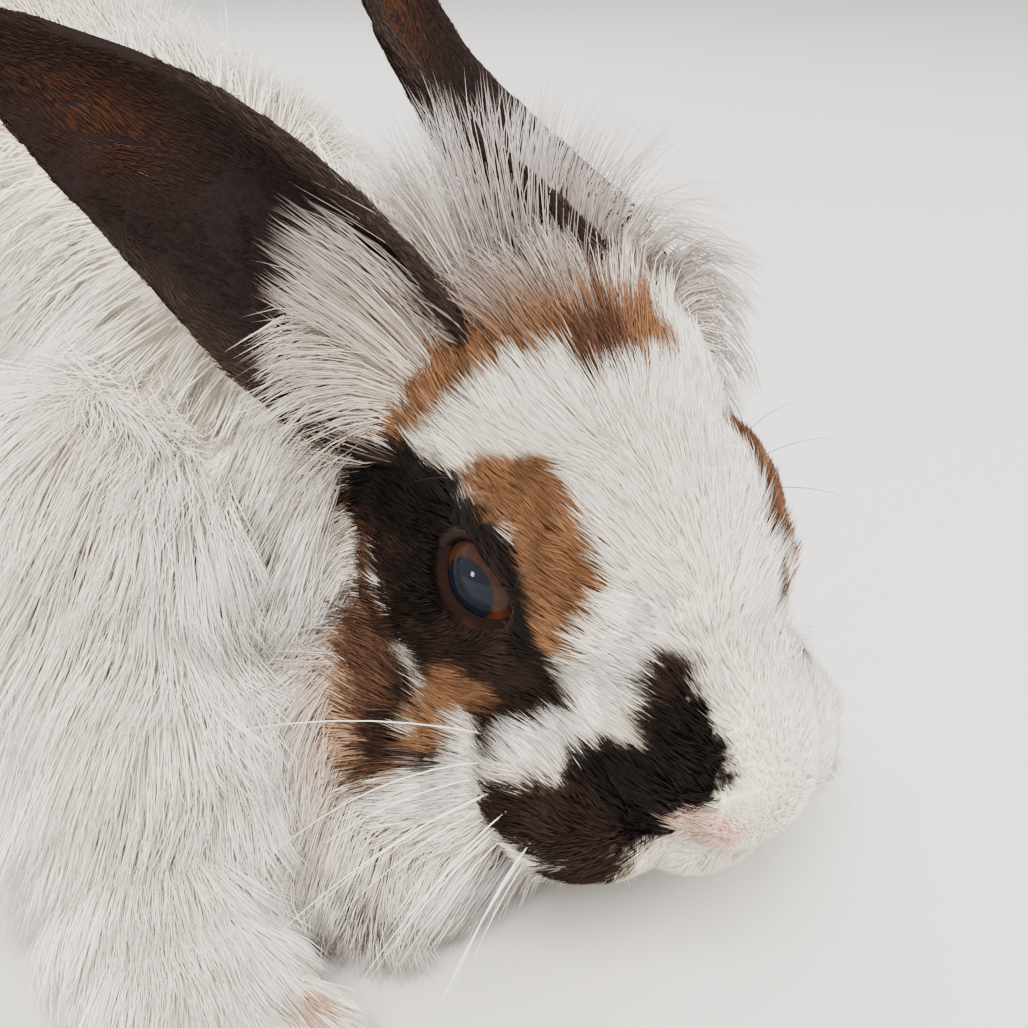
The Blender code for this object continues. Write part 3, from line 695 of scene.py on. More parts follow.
class Lines:
    """The lines of long hair that the photo shows, as guides in space."""

    def __init__(self, skin):
        triangles, points, _ = triangles_of(skin.data)
        skin_tree = BVHTree.FromPolygons(points.tolist(), triangles.tolist())
        self.guides = []
        plain = [(name, WHITE, True, *row) for name, *row in BODY_GUIDES]
        for place, table in ((HEAD, GUIDES), (BODY, plain)):
            for _, colour, mirrored, reach, root, bend, tip in table:
                ray = photo_ray(*root)
                way_in = CAMERA.to_3x3() @ ray.normalized()
                hit, _, _, distance = skin_tree.ray_cast(CAMERA.translation, way_in)
                if hit is None:
                    continue
                depth = distance / ray.length
                stops = [hit]
                for x, y, nearer in (bend, tip):
                    stops.append(CAMERA @ (photo_ray(x, y) * (depth - nearer * MM)))
                local = np.array([place.inverted() @ s for s in stops])
                for side in (1, -1) if mirrored else (1,):
                    own = turned_by(local * (side, 1, 1), place) + np.array(place.translation)
                    self.guides.append((own, reach * MM, linear(colour)))

    def steer(self, points):
        """First and last way in metres, tip colour, and how much the guides have to say there."""
        total = np.zeros(len(points))
        sums = np.zeros((len(points), 9))
        for stops, reach, colour in self.guides:
            gap = np.linalg.norm(points - stops[0], axis=1) / reach
            weight = np.exp(-0.5 * gap**2)
            total += weight
            row = np.concatenate([stops[1] - stops[0], stops[2] - stops[1], colour])
            sums += weight[:, None] * row
        sums /= np.maximum(total, 1e-9)[:, None]
        return sums[:, :3], sums[:, 3:6], sums[:, 6:], smooth(0.03, 0.35, total)


def near_eye(head_points):
    """Distance to the nearer eye's middle, and the way from it, in the head's frame."""
    sides = np.where(head_points[:, :1] < 0, -1.0, 1.0)
    away = head_points - (sides * (1, 0, 0) + (0, 1, 1)) * EYE_PLACE
    return np.linalg.norm(away, axis=1), away


def shown(points, normals, cover):
    """How much each spot shows in the photo, less where the rest of the animal hides it."""
    seen = in_photo(points, normals)
    for i in np.where(seen > 0)[0]:
        start = Vector(points[i] + normals[i] * 3 * MM)
        hit, _, _, distance = cover.ray_cast(start, (CAMERA.translation - start).normalized())
        if hit is not None and distance > 6 * MM:
            seen[i] = 0
    return seen


class Hairs:
    """Roots of the coat, with everything that says how a hair grows there."""

    lines = None
    cover = None
    share = None
    tips = None

    def __init__(self, part, points, normals, chance):
        self.part = part
        self.points = points
        self.normals = normals
        self.chance = chance
        self.seen = shown(points, normals, Hairs.cover)

    def comb(self):
        """Blends the ways of the parts that meet near each root, so that no seam shows."""
        kinds = sorted({name.split("_")[0] for name in PARTS})
        gaps = np.full((len(kinds), len(self.points)), 1e3)
        for name, masses in PARTS.items():
            row = kinds.index(name.split("_")[0])
            gaps[row] = np.minimum(gaps[row], clearance(self.points, masses)[0] / MM - LEAD.get(name, 0))
        shares = np.exp(-(gaps - gaps.min(axis=0)) / BLEND)
        shares /= shares.sum(axis=0)
        total = 0
        for kind, share in zip(kinds, shares):
            total = total + COMBS[kind](self) * share[:, None]
        self.lie = unit(total[:, :3])
        self.length, self.lift, self.droop, self.width, self.rough = total[:, 3:].T.copy()
        self.first, self.last, self.tips, share = self.lines.steer(self.points)
        if self.part in ("head", "neck"):
            share = share * smooth(11.5, 15, self.length)
        elif self.part == "torso":
            share = share * smooth(0.95, 0.6, self.normals[:, 2])
        elif self.part in ("tail", "hindleg", "hindfoot"):
            share = share * 0
        guided = (np.linalg.norm(self.first, axis=1) + np.linalg.norm(self.last, axis=1)) / MM
        self.length = self.length + (guided - self.length) * share
        self.share = share

    def keep(self, mask):
        for name, value in vars(self).items():
            if isinstance(value, np.ndarray):
                setattr(self, name, value[mask])


def way(lie, length, lift, droop, width, rough):
    """How hair grows at each root, in columns: lie, length in mm, lift in degrees and so on."""
    lie = unit(lie)
    rest = [np.broadcast_to(v, len(lie)) for v in (length, lift, droop, width, rough)]
    return np.column_stack([lie, *rest])


def mane_from(at):
    """0 on the short-haired face, 1 where the mane grows, for points in the head's frame."""
    return smooth(26, 29, at[:, 1] + 0.3 * np.maximum(-at[:, 2] - 4, 0))


def comb_head(hairs):
    at = to_frame(hairs.points, HEAD)
    x, y, z = at.T
    side = np.tanh(x / 4)
    eye, from_eye = near_eye(at)
    top = smooth(-4, 12, z)
    mane = mane_from(at)
    ruff = smooth(-18, -27, z) * smooth(-22, -6, y) * (1 - mane)
    chin = smooth(-22, -29, z) * smooth(-42, -28, y) * (1 - mane)
    hang = np.maximum(ruff, chin)
    length = 2.0 + 4.5 * smooth(-47, -28, y) + 3.5 * smooth(-22, 10, y) * smooth(-6, 10, z)
    length += 3 * smooth(4, 22, y) + 5 * smooth(-4, -18, z) * smooth(-16, 4, y)
    length = np.minimum(length, 1.6 + 0.5 * np.maximum(eye - 7.8, 0))
    length += mane * 26 + ruff * 20 + chin * (1 - ruff) * 14
    lie = np.stack([0.3 * side, np.ones_like(x), 0.12 + 0 * x], axis=1)
    lie[:, 2] -= smooth(4, -16, z) * (0.6 + 0.5 * smooth(-10, 20, y))
    pads = smooth(-14, -26, y) * smooth(-2, -10, z)
    lie[:, 0] += pads * 0.5 * side
    blaze = smooth(2, 10, z) * smooth(12, -6, y)
    lie[:, 0] += blaze * 0.6 * side * smooth(2, 14, np.abs(x))
    close = np.exp(-np.maximum(eye - 8, 0) / 5)[:, None]
    lie = lie * (1 - 0.6 * close) + unit(from_eye) * close
    crown = mane * top
    cheek_mane = mane * (1 - top)
    fan = np.clip(x / 12, -1.4, 1.4)
    lie += crown[:, None] * np.stack([0.7 * fan, 0 * x, 0 * x], axis=1)
    lie += cheek_mane[:, None] * np.stack([0.9 * side, 0 * x, -0.2 + 0 * x], axis=1)
    lie = turned_by(unit(lie), HEAD)
    down = np.stack([0.45 * side, 0.1 + 0 * x, -1 + 0 * x], axis=1)
    lie = lie * (1 - hang[:, None]) + unit(down) * hang[:, None]
    lift = 18 + 8 * blaze + 8 * pads + crown * 50 + cheek_mane * 28 + ruff * 18 + chin * 14
    lift -= 8 * close[:, 0]
    droop = 0.04 + crown * 0.1 + cheek_mane * 0.5 + hang * 0.5
    width = 0.16 + 0.03 * np.maximum(mane, hang)
    return way(lie, length, lift, droop, width, 0.17 + 0.05 * mane)


def comb_neck(hairs):
    at = to_frame(hairs.points, BODY)
    side = np.tanh((at[:, 0] - 4) / 10)
    out = hairs.normals
    top = smooth(0.0, 0.8, out[:, 2])
    front = smooth(0.2, -0.5, out[:, 1])
    lie = np.stack([0.3 * side, 0.8 - 0.5 * front, -0.85 + 0.6 * top], axis=1)
    long = mane_from(to_frame(hairs.points, HEAD))
    return way(lie, 10 + (24 - 2 * front) * long, 26 + 10 * top + 6 * front, 0.4, 0.2, 0.2)


def comb_torso(hairs):
    at = to_frame(hairs.points, BODY)
    y = at[:, 1]
    out = hairs.normals
    front = smooth(-0.1, -0.7, out[:, 1]) * smooth(-20, -60, y)
    rump = smooth(70, 130, y) * smooth(-0.1, 0.6, out[:, 1])
    fore = smooth(10, -50, y)
    down = -0.2 - 0.8 * np.abs(out[:, 0]) - 1.2 * rump - 0.9 * front
    aside = 0.15 * out[:, 0] + 0.2 * fore * np.tanh(at[:, 0] / 12)
    lie = np.stack([aside, 1 - 0.7 * rump - 0.8 * front - 0.3 * fore, down], axis=1)
    belly = smooth(-0.2, -0.8, out[:, 2])
    length = (34 - 3 * smooth(-30, 60, y)) * (1 - 0.5 * belly)
    return way(lie, length, 17 - 8 * belly, 0.25, 0.22, 0.17)


def comb_tail(hairs):
    lie = np.array((0.0, 0.45, 1.0)) + 0.5 * hairs.normals
    return way(lie, 15, 32, 0.1, 0.22, 0.22)


def comb_foreleg(hairs):
    at = to_frame(hairs.points, BODY)
    upper = smooth(25, 60, at[:, 2])
    lie = np.stack([0.2 * np.sign(at[:, 0]), 0.3 + 0.3 * upper, -1 + 0 * upper], axis=1)
    return way(lie, 22 + 11 * upper, 18, 0.25, 0.2, 0.17)


def comb_forepaw(hairs):
    toes = smooth(-95, -125, to_frame(hairs.points, BODY)[:, 1])
    lie = np.stack([0 * toes, -0.4 - 0.8 * toes, -0.9 + 0.7 * toes], axis=1)
    return way(lie, 13 - 6 * toes, 20, 0.3, 0.18, 0.14)


def comb_hindleg(hairs):
    lie = np.tile((0.0, 0.45, -1.0), (len(hairs.points), 1))
    return way(lie, 26, 15, 0.25, 0.22, 0.16)


def comb_hindfoot(hairs):
    lie = np.tile((0.0, -1.0, -0.15), (len(hairs.points), 1))
    return way(lie, 9, 18, 0.2, 0.22, 0.12)


COMBS = {
    "head": comb_head,
    "neck": comb_neck,
    "torso": comb_torso,
    "tail": comb_tail,
    "foreleg": comb_foreleg,
    "forepaw": comb_forepaw,
    "hindleg": comb_hindleg,
    "hindfoot": comb_hindfoot,
}
# Hairs for each square millimetre, where the photo shows the part and where it doesn't.
DENSITY = {
    "head": (5.6, 1.0),
    "neck": (1.9, 0.5),
    "torso": (1.1, 0.18),
    "tail": (0.7, 0.7),
    "foreleg": (1.7, 0.4),
    "forepaw": (3.2, 0.8),
    "hindleg": (0.6, 0.22),
    "hindfoot": (0.6, 0.5),
    "ear": (3.6, 1.0),
}


def scatter(triangles, points, normals, weights, chance):
    """Roots spread over the triangles, as many on each as its weight says, on average."""
    edges = np.cumsum(weights)
    count = int(edges[-1])
    picks = (np.arange(count) + chance.random(count)) * edges[-1] / count
    chosen = triangles[np.minimum(np.searchsorted(edges, picks), len(triangles) - 1)]
    a, b = chance.random((2, count))
    over = a + b > 1
    a[over], b[over] = 1 - a[over], 1 - b[over]
    shares = np.stack([1 - a - b, a, b], axis=1)[..., None]
    roots = (points[chosen] * shares).sum(axis=1)
    return roots, unit((normals[chosen] * shares).sum(axis=1))


def areas_of(triangles, points):
    a, b, c = (points[triangles[:, i]] for i in range(3))
    return np.linalg.norm(np.cross(b - a, c - a), axis=1) / 2 / MM**2


def clump(paths, roots, stations, each, pull, chance):
    """Draws the hairs together towards the guide that stands nearest, more at the tips."""
    count = len(roots)
    if count < 2 * each:
        return paths
    guides = chance.choice(count, count // each, replace=False)
    tree = KDTree(len(guides))
    for i, g in enumerate(guides):
        tree.insert(roots[g], i)
    tree.balance()
    nearest = guides[np.array([tree.find(r)[1] for r in roots])]
    share = pull * chance.uniform(0.5, 1.25, count)[:, None, None]
    share = np.clip(share, 0, 0.92) * (np.array(stations) ** 1.3)[None, :, None]
    return paths + (paths[nearest] - paths) * share


def grow(hairs, rings):
    """The paths of the hairs from root to tip, each clear of the flesh and the floor."""
    chance = hairs.chance
    count = len(hairs.points)
    stations = STATIONS[rings]
    length = hairs.length * MM * chance.uniform(0.68, 1.12, count)
    sway = ripple(hairs.points / MM, 22, 31) * 1.3 + ripple(hairs.points / MM, 6, 32) * 0.8
    own = chance.normal(size=(count, 3))
    spot = hairs.points.copy()
    out = hairs.normals
    buried = np.minimum(clearance(spot, FLESH)[0], 0)
    paths = [spot - out * ROOT_SINK * MM]
    turns = [out]
    lift = np.radians(hairs.lift * chance.uniform(0.6, 1.5, count))
    for low, high in zip(stations, stations[1:]):
        middle = (low + high) / 2
        lie = unit(hairs.lie - out * (hairs.lie * out).sum(axis=1, keepdims=True))
        angle = (lift * (1.15 - 1.0 * middle))[:, None]
        heading = lie * np.cos(angle) + out * np.sin(angle)
        heading[:, 2] -= hairs.droop * middle
        if hairs.share is not None:
            later = smooth(0.15, 0.85, middle)
            guided = unit(hairs.first * (1 - later) + hairs.last * later)
            standing = (guided * out).sum(axis=1)
            guided = guided + out * np.maximum(0.3 * (1 - middle) + 0.02 - standing, 0)[:, None]
            heading = heading + (unit(guided) - heading) * hairs.share[:, None]
        heading += (sway * 0.9 + own * 0.8) * hairs.rough[:, None] * (0.4 + middle)
        spot = spot + unit(heading) * (length * (high - low))[:, None]
        if hairs.part != "ear":
            away, outward = clearance(spot, FLESH)
            out = unit(out + outward)
            wanted = buried + (0.35 + 1.2 * high) * MM
            spot = spot + outward * np.maximum(wanted - away, 0)[:, None]
        spot[:, 2] = np.maximum(spot[:, 2], 0.5 * MM)
        paths.append(spot)
        turns.append(out)
    paths = np.stack(paths, axis=1)
    long = 0.6 + 0.4 * smooth(8, 20, hairs.length.mean())
    for each, pull in TUFTS:
        paths = clump(paths, hairs.points, stations, each, pull * long, chance)
    paths[:, 1:, 2] = np.maximum(paths[:, 1:, 2], 0.3 * MM)
    return paths, np.stack(turns, axis=1)


def strand_mesh(name, paths, turns, widths, root_colour, tip_colour, unwrapped, rings):
    """Closed three-sided strands that swell a little and end in a point, as one mesh."""
    count = len(paths)
    each = 3 * rings + 2
    stations = np.array(STATIONS[rings])
    verts = np.empty((count, each, 3))
    verts[:, 0] = paths[:, 0]
    verts[:, -1] = paths[:, -1]
    for k in range(rings):
        ahead = unit(paths[:, k + 2] - paths[:, k])
        across = unit(np.cross(ahead, turns[:, k + 1]))
        out = np.cross(across, ahead)
        half = (widths * SWELL[rings][k] / 2 * MM)[:, None]
        for j in range(3):
            angle = math.radians(90 + 120 * j)
            verts[:, 1 + 3 * k + j] = paths[:, k + 1] + half * (
                across * math.cos(angle) + out * math.sin(angle)
            )
    faces = [(0, 1 + (j + 1) % 3, 1 + j) for j in range(3)]
    for k in range(rings - 1):
        low, high = 1 + 3 * k, 4 + 3 * k
        for j in range(3):
            i = (j + 1) % 3
            faces += [(low + j, low + i, high + i), (low + j, high + i, high + j)]
    last = each - 4
    faces += [(last + j, last + (j + 1) % 3, each - 1) for j in range(3)]
    faces = np.array(faces)
    corners = (faces[None] + (np.arange(count) * each)[:, None, None]).reshape(-1)
    mesh = bpy.data.meshes.new(name)
    mesh.vertices.add(count * each)
    mesh.vertices.foreach_set("co", verts.astype(np.float32).ravel())
    mesh.loops.add(len(corners))
    mesh.loops.foreach_set("vertex_index", corners.astype(np.int32))
    mesh.polygons.add(len(corners) // 3)
    mesh.polygons.foreach_set("loop_start", np.arange(0, len(corners), 3, dtype=np.int32))
    share = np.concatenate([[0], np.repeat(stations[1:-1], 3), [1]])
    mix = share[None, :, None] ** 0.8
    colours = root_colour[:, None] * (1 - mix) + tip_colour[:, None] * mix
    store_colours(mesh, colours.reshape(-1, 3))
    sideways = np.concatenate([[0.5], np.tile((0.1, 0.5, 0.9), rings), [0.5]]) - 0.5
    patch = np.stack([sideways, share - 0.5], axis=1) * PATCH
    uv = (unwrapped[:, None] + patch[None]).reshape(-1, 2)
    layer = mesh.uv_layers.new(name="OFBake")
    layer.data.foreach_set("uv", uv[corners].astype(np.float32).ravel())
    mesh.update(calc_edges=True)
    mesh.shade_smooth()
    return new_object(name, mesh)


def unwrap(hairs):
    """Where each root lies on an unwrap of its part's own shape, in 0 to 1."""
    points = hairs.points
    if hairs.part == "head":
        away = unit(to_frame(points, HEAD) - np.array((0, 0, -5)))
        reach = np.sqrt(np.maximum(1 + away[:, 1], 0) / 2) * 0.48
        flat = unit(away[:, [0, 2]])
        return 0.5 + flat * reach[:, None]
    if hairs.part in ("torso", "neck", "tail"):
        at = to_frame(points, BODY)
        around = np.arctan2(at[:, 0], at[:, 2] - 50) / (2 * math.pi) + 0.5
        along = (at[:, 1] + 140) / 320
        return np.stack([around, along], axis=1) * 0.98 + 0.01
    middle = points.mean(axis=0)
    around = np.arctan2(points[:, 0] - middle[0], points[:, 1] - middle[1]) / (2 * math.pi) + 0.5
    low, high = points[:, 2].min(), points[:, 2].max()
    up = (points[:, 2] - low) / (high - low)
    return np.stack([around, up], axis=1) * 0.98 + 0.01


def coat_colours(part, points, length, chance, markings, tips=None, share=None):
    """Root and tip colour of the hairs whose middles are at the points."""
    count = len(points)
    white, cream = linear(WHITE), linear(CREAM)
    tone = 0.5 + 0.35 * ripple(points / MM, 40, 51, 1)
    # Roots are creamier than tips: partly the cream undercoat, partly painted warm shade down among the
    # hairs.
    root = white + (cream - white) * np.clip(0.45 + 0.5 * tone, 0, 1)
    tip = white + (cream - white) * np.clip(0.25 * tone, 0, 1)
    if part in ("head", "neck", "torso", "ear", "foreleg", "forepaw"):
        marked = markings.paint(to_frame(points, HEAD), root.copy(), chance.normal(size=count) * 0.45)
        long = smooth(14, 26, length)[:, None]
        changed = np.abs(marked - root).sum(axis=1, keepdims=True) > 0.02
        fleck = 1 + 0.25 * ripple(points / MM, 6, 55, 1) + 0.12 * chance.normal(size=(count, 1))
        root = np.where(changed, marked * np.clip(fleck, 0.45, 1.6), marked)
        pale = linear(GREY_TIP) * 0.5 + white * 0.5
        tip = np.where(changed, root * 0.985 + white * 0.015, tip)
        tip = tip + (pale - tip) * long * 0.8 * changed
    if tips is not None:
        tip = tip + (tips - tip) * (share * smooth(12, 22, length))[:, None] * 0.85
    return root, tip


def ear_hairs(word, skin, chance):
    """Short dark hair along the ear, longer where the ear leaves the mane."""
    triangles, points, normals = triangles_of(skin.data)
    middles = points[triangles].mean(axis=1)
    seen = in_photo(middles, unit(normals[triangles].mean(axis=1)))
    dense, sparse = DENSITY["ear"]
    weights = areas_of(triangles, points) * (sparse + (dense - sparse) * seen)
    roots, out = scatter(triangles, points, normals, weights, chance)
    hairs = Hairs("ear", roots, out, chance)
    hairs.away = clearance(roots, FLESH)[0] / MM
    hairs.keep(hairs.away > 0.2)
    hairs.base = smooth(6, 1, hairs.away)
    hairs.keep(chance.random(len(hairs.points)) > 0.8 * hairs.base)
    root, along, across, _ = ear_axes(word)
    base = hairs.base
    hairs.reach = (hairs.points - root) @ along / (EAR_LENGTH * MM)
    hairs.aside = (hairs.points - root) @ across / MM
    total = way(np.tile(along, (len(base), 1)), 3.0 + 12 * base, 9 + 12 * base, 0.2 * base, 0.17, 0.1)
    hairs.lie = total[:, :3]
    hairs.length, hairs.lift, hairs.droop, hairs.width, hairs.rough = total[:, 3:].T.copy()
    return hairs


def ear_tone(hairs, points):
    """The ears are nearly black, greyer at the rim and rusty inside towards the tip."""
    dark, grey, rust = linear(EAR_DARK), linear(EAR_GREY), linear(EAR_RUST)
    tone = 0.2 + 0.08 * ripple(points / MM, 30, 52, 1)
    tone += 0.5 * smooth(0.32, 0.44, np.abs(hairs.aside) / EAR_WIDTH)[:, None]
    own = dark + (grey - dark) * np.clip(tone, 0, 1) * 0.6
    warm = np.exp(-(((hairs.reach - 0.7) / 0.14) ** 2) - ((hairs.aside / 7) ** 2))
    return own + (rust - own) * warm[:, None] * 0.35


def owners(points):
    """The names of the parts, and for each point the index of the one it belongs to."""
    names = list(PARTS)
    gaps = [clearance(points, PARTS[n])[0] - LEAD.get(n, 0) * MM for n in names]
    return names, np.argmin(gaps, axis=0)


def lies_on(points, ears):
    """Which points lie on the ears."""
    on_ear = np.zeros(len(points), bool)
    for ear in ears:
        tree = BVHTree.FromObject(ear, bpy.context.evaluated_depsgraph_get())
        for i, point in enumerate(points):
            on_ear[i] |= tree.find_nearest(point, 0.06 * MM)[3] is not None
    return on_ear


def clothe(skin, ears, markings):
    """Grows the whole coat and returns its pieces."""
    triangles, points, normals = triangles_of(skin.data)
    middles = points[triangles].mean(axis=1)
    names, nearest = owners(middles)
    seen = shown(middles, unit(normals[triangles].mean(axis=1)), Hairs.cover)
    area = areas_of(triangles, points)
    on_ear = lies_on(middles, ears.values())
    grown = []
    for index, name in enumerate(names):
        kind = name.split("_")[0]
        chance = np.random.default_rng(SEED + index)
        dense, sparse = DENSITY[kind]
        standing = mane_from(to_frame(middles, HEAD)) if kind == "head" else 0
        weights = area * (sparse + (dense - sparse) * np.maximum(seen, 0.6 * standing))
        weights[(nearest != index) | on_ear] = 0
        weights[middles[:, 2] < 0.4 * MM] = 0
        roots, out = scatter(triangles, points, normals, weights, chance)
        hairs = Hairs(kind, roots, out, chance)
        if kind == "head":
            local = to_frame(roots, HEAD)
            hairs.seen = np.maximum(hairs.seen, 0.7 * mane_from(local))
            hairs.keep(near_eye(local)[0] > NO_HAIR)
        hairs.comb()
        if kind == "head":
            spared = FULL_LENGTH / np.maximum(hairs.length, FULL_LENGTH)
            hairs.keep(chance.random(len(hairs.points)) < spared)
        grown.append((name, hairs))
    for word, ear in ears.items():
        chance = np.random.default_rng(SEED + (50 if word == "left" else 51))
        grown.append((f"ear_{word}", ear_hairs(word, ear, chance)))
    pieces = []
    for name, hairs in grown:
        pieces += coat_pieces(name, hairs, markings)
    return pieces


def coat_pieces(name, hairs, markings):
    """The strands of one part, as meshes that stay under the limit of a piece."""
    pieces = []
    hairs.unwrapped = unwrap(hairs)
    near = hairs.seen > 0.3
    rings_for = 1 + (hairs.length > 8)
    if hairs.part != "torso":
        rings_for += near * (hairs.length > 18)
    if hairs.part == "head":
        rings_for += near * (hairs.length > 24)
    for rings in STATIONS:
        picked = Hairs(hairs.part, hairs.points, hairs.normals, hairs.chance)
        vars(picked).update(vars(hairs))
        picked.keep(rings_for == rings)
        count = len(picked.points)
        if count < 20:
            continue
        lot = PIECE_LIMIT // (6 * rings)
        order = np.argsort(picked.points[:, 1], kind="stable")
        picked.keep(order)
        paths, turns = grow(picked, rings)
        low, high = STATIONS[rings][1:3]
        share = (np.minimum(0.5, 5 / picked.length) - low)[:, None] / (high - low)
        middles = paths[:, 1] + (paths[:, 2] - paths[:, 1]) * np.clip(share, 0, 1)
        own_tips = (picked.tips, picked.share)
        root, tip = coat_colours(picked.part, middles, picked.length, picked.chance, markings, *own_tips)
        if picked.part == "ear":
            own = ear_tone(picked, middles)
            base = smooth(0.55, 1.0, picked.base + 0.2 * picked.chance.normal(size=count))[:, None]
            root = own + (root - own) * base * 0.4
            tip = own + (linear(BROWN_TIP) - own) * base
        shade = picked.chance.uniform(0.8, 1.0, (count, 1))
        widths = picked.width * (2.4 - 1.4 * picked.seen) * picked.chance.uniform(0.7, 1.3, count)
        # Roots are painted a tenth darker than the tips: painted shade deep in the coat.
        values = (paths, turns, widths, root * shade * 0.9, tip * shade, picked.unwrapped)
        for number, start in enumerate(range(0, count, lot)):
            own = [value[start : start + lot] for value in values]
            pieces.append(strand_mesh(f"coat_{name}_{rings}_{number + 1}", *own, rings))
    return pieces


def paint_skin(skin, markings, ears):
    """Stores the coat's colours on the skin, darkened a little as painted shade, with dark ears and lids."""
    _, points, normals = triangles_of(skin.data)
    names, nearest = owners(points)
    chance = np.random.default_rng(SEED)
    colours = np.ones((len(points), 3))
    for index, name in enumerate(names):
        mask = nearest == index
        if not mask.any():
            continue
        kind = name.split("_")[0]
        lifted = points[mask] + normals[mask] * MARK_LIFT * MM
        root, _ = coat_colours(kind, lifted, np.zeros(mask.sum()), chance, markings)
        # The skin is painted a little darker than the roots: painted shade under the coat.
        colours[mask] = root * 0.92
    colours[lies_on(points, ears)] = linear(EAR_DARK)
    colours[near_eye(to_frame(points, HEAD))[0] < BARE_LID] = linear(LID_DARK)
    store_colours(skin.data, colours)


def add_node(tree, kind, settings=None, **links):
    """Adds one node, with its settings and what its inputs take: a value or another socket."""
    node = tree.nodes.new(kind)
    for name, value in (settings or {}).items():
        setattr(node, name, value)
    for name, value in links.items():
        socket = node.inputs[int(name[1:])] if name[0] == "_" else node.inputs[name.replace("_", " ")]
        if isinstance(value, bpy.types.NodeSocket):
            tree.links.new(value, socket)
        else:
            socket.default_value = value
    return node


def finish(name, code=None, grain=None, **sockets):
    """A real surface. Its colour is the one given, or else it comes from the mesh's own layer.

    The grain is the size and the depth in millimetres of its fine unevenness, and its strength.
    """
    made = bpy.data.materials.new(name)
    made.use_nodes = True
    tree = made.node_tree
    tree.nodes.clear()
    shader = add_node(tree, "ShaderNodeBsdfPrincipled", **sockets)
    if code:
        shader.inputs["Base Color"].default_value = (*linear(code), 1)
    else:
        colour = add_node(tree, "ShaderNodeAttribute", {"attribute_name": "coat"})
        tree.links.new(colour.outputs["Color"], shader.inputs["Base Color"])
    if grain:
        size, depth, strength = grain
        place = add_node(tree, "ShaderNodeTexCoord")
        detail = 4.0 if strength > 0.5 else 3.0
        noise = add_node(tree, "ShaderNodeTexNoise", Scale=1 / (size * MM), Detail=detail)
        tree.links.new(place.outputs["Object"], noise.inputs["Vector"])
        bump = add_node(tree, "ShaderNodeBump", Distance=depth * MM, Strength=strength)
        tree.links.new(noise.outputs[0], bump.inputs["Height"])
        tree.links.new(bump.outputs[0], shader.inputs["Normal"])
    add_node(tree, "ShaderNodeOutputMaterial", Surface=shader.outputs[0])
    return made


def store_colours(mesh, colours):
    full = np.ones((len(colours), 4))
    full[:, :3] = colours
    layer = mesh.attributes.new("coat", "FLOAT_COLOR", "POINT")
    layer.data.foreach_set("color", full.astype(np.float32).ravel())


def make_eye(word, side):
    """The eyeball under its wet cornea, with a wide dark pupil in a brown iris, lit low by a painted glow."""
    place = eye_frame(side) @ Matrix.Scale(EYE_RADIUS * MM, 4)
    eye = ball(f"eyeball_{word}", place, 96, 80)
    eye.data.shade_smooth()
    local = to_frame(np.array([v.co for v in eye.data.vertices]), eye_frame(side))
    turn = np.degrees(np.arctan2(np.hypot(local[:, 0], local[:, 1]), local[:, 2]))
    colours = np.tile(linear(EYE_EDGE), (len(turn), 1))
    # The lower outer iris is painted warmer and lighter: a painted glow of the light that the cornea gathers
    # there.
    low = smooth(2, -5, local[:, 1])[:, None]
    iris = linear(IRIS) + (linear(IRIS_PAINTED_GLOW) - linear(IRIS)) * low * smooth(34, 46, turn)[:, None]
    spoke = np.arctan2(local[:, 0], local[:, 1])
    iris = iris * (1 + 0.18 * np.sin(spoke * 37) * np.sin(spoke * 23 + 1))[:, None]
    colours += (iris - colours) * smooth(56, 51, turn)[:, None]
    colours += (linear(PUPIL) - colours) * smooth(36, 33.5, turn)[:, None]
    store_colours(eye.data, colours)
    # Wet cornea over iris and pupil: very smooth, so that it mirrors the lamps as small spots.
    cornea = {"Roughness": 0.08, "IOR": 1.38, "Specular_IOR_Level": 0.06}
    tears = {"Coat_Weight": 0.2, "Coat_Roughness": 0.02}
    eye.data.materials.append(finish(f"eye_{word}_iris_under_cornea", **cornea, **tears))
    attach(eye, "root")
    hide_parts(f"eye_{word}")


def make_lids(word, side):
    """The bare rims of both lids: dark, a little moist, and pale along the lower edge."""
    lids = lid_ring(side)
    lids.name = f"lids_{word}"
    middle = eye_frame(side).translation
    for move in (Matrix.Translation(-middle), Matrix.Scale(1.015, 4), Matrix.Translation(middle)):
        lids.data.transform(move)
    lids.data.shade_smooth()
    local = to_frame(np.array([v.co for v in lids.data.vertices]), eye_frame(side))
    inner = smooth(LID_RING + 0.2, LID_RING - 0.9, np.hypot(local[:, 0], local[:, 1]))
    low = smooth(-1, -4, local[:, 1])
    front = smooth(3.5, 6.5, local[:, 0] * FRONT_SIDE[word])
    colours = np.tile(linear(LID_DARK), (len(local), 1))
    share = (inner * np.maximum(low, 0.8 * front))[:, None]
    colours += (linear(LID_PALE) - colours) * share
    store_colours(lids.data, colours)
    lids.data.materials.clear()
    # Bare lid skin: nearly black, a little moist, with wrinkles finer than half a millimetre.
    bare = finish(f"lid_skin_{word}", grain=(0.5, 0.12, 0.5), Roughness=0.5, Specular_IOR_Level=0.14)
    lids.data.materials.append(bare)
    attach(lids, "root")


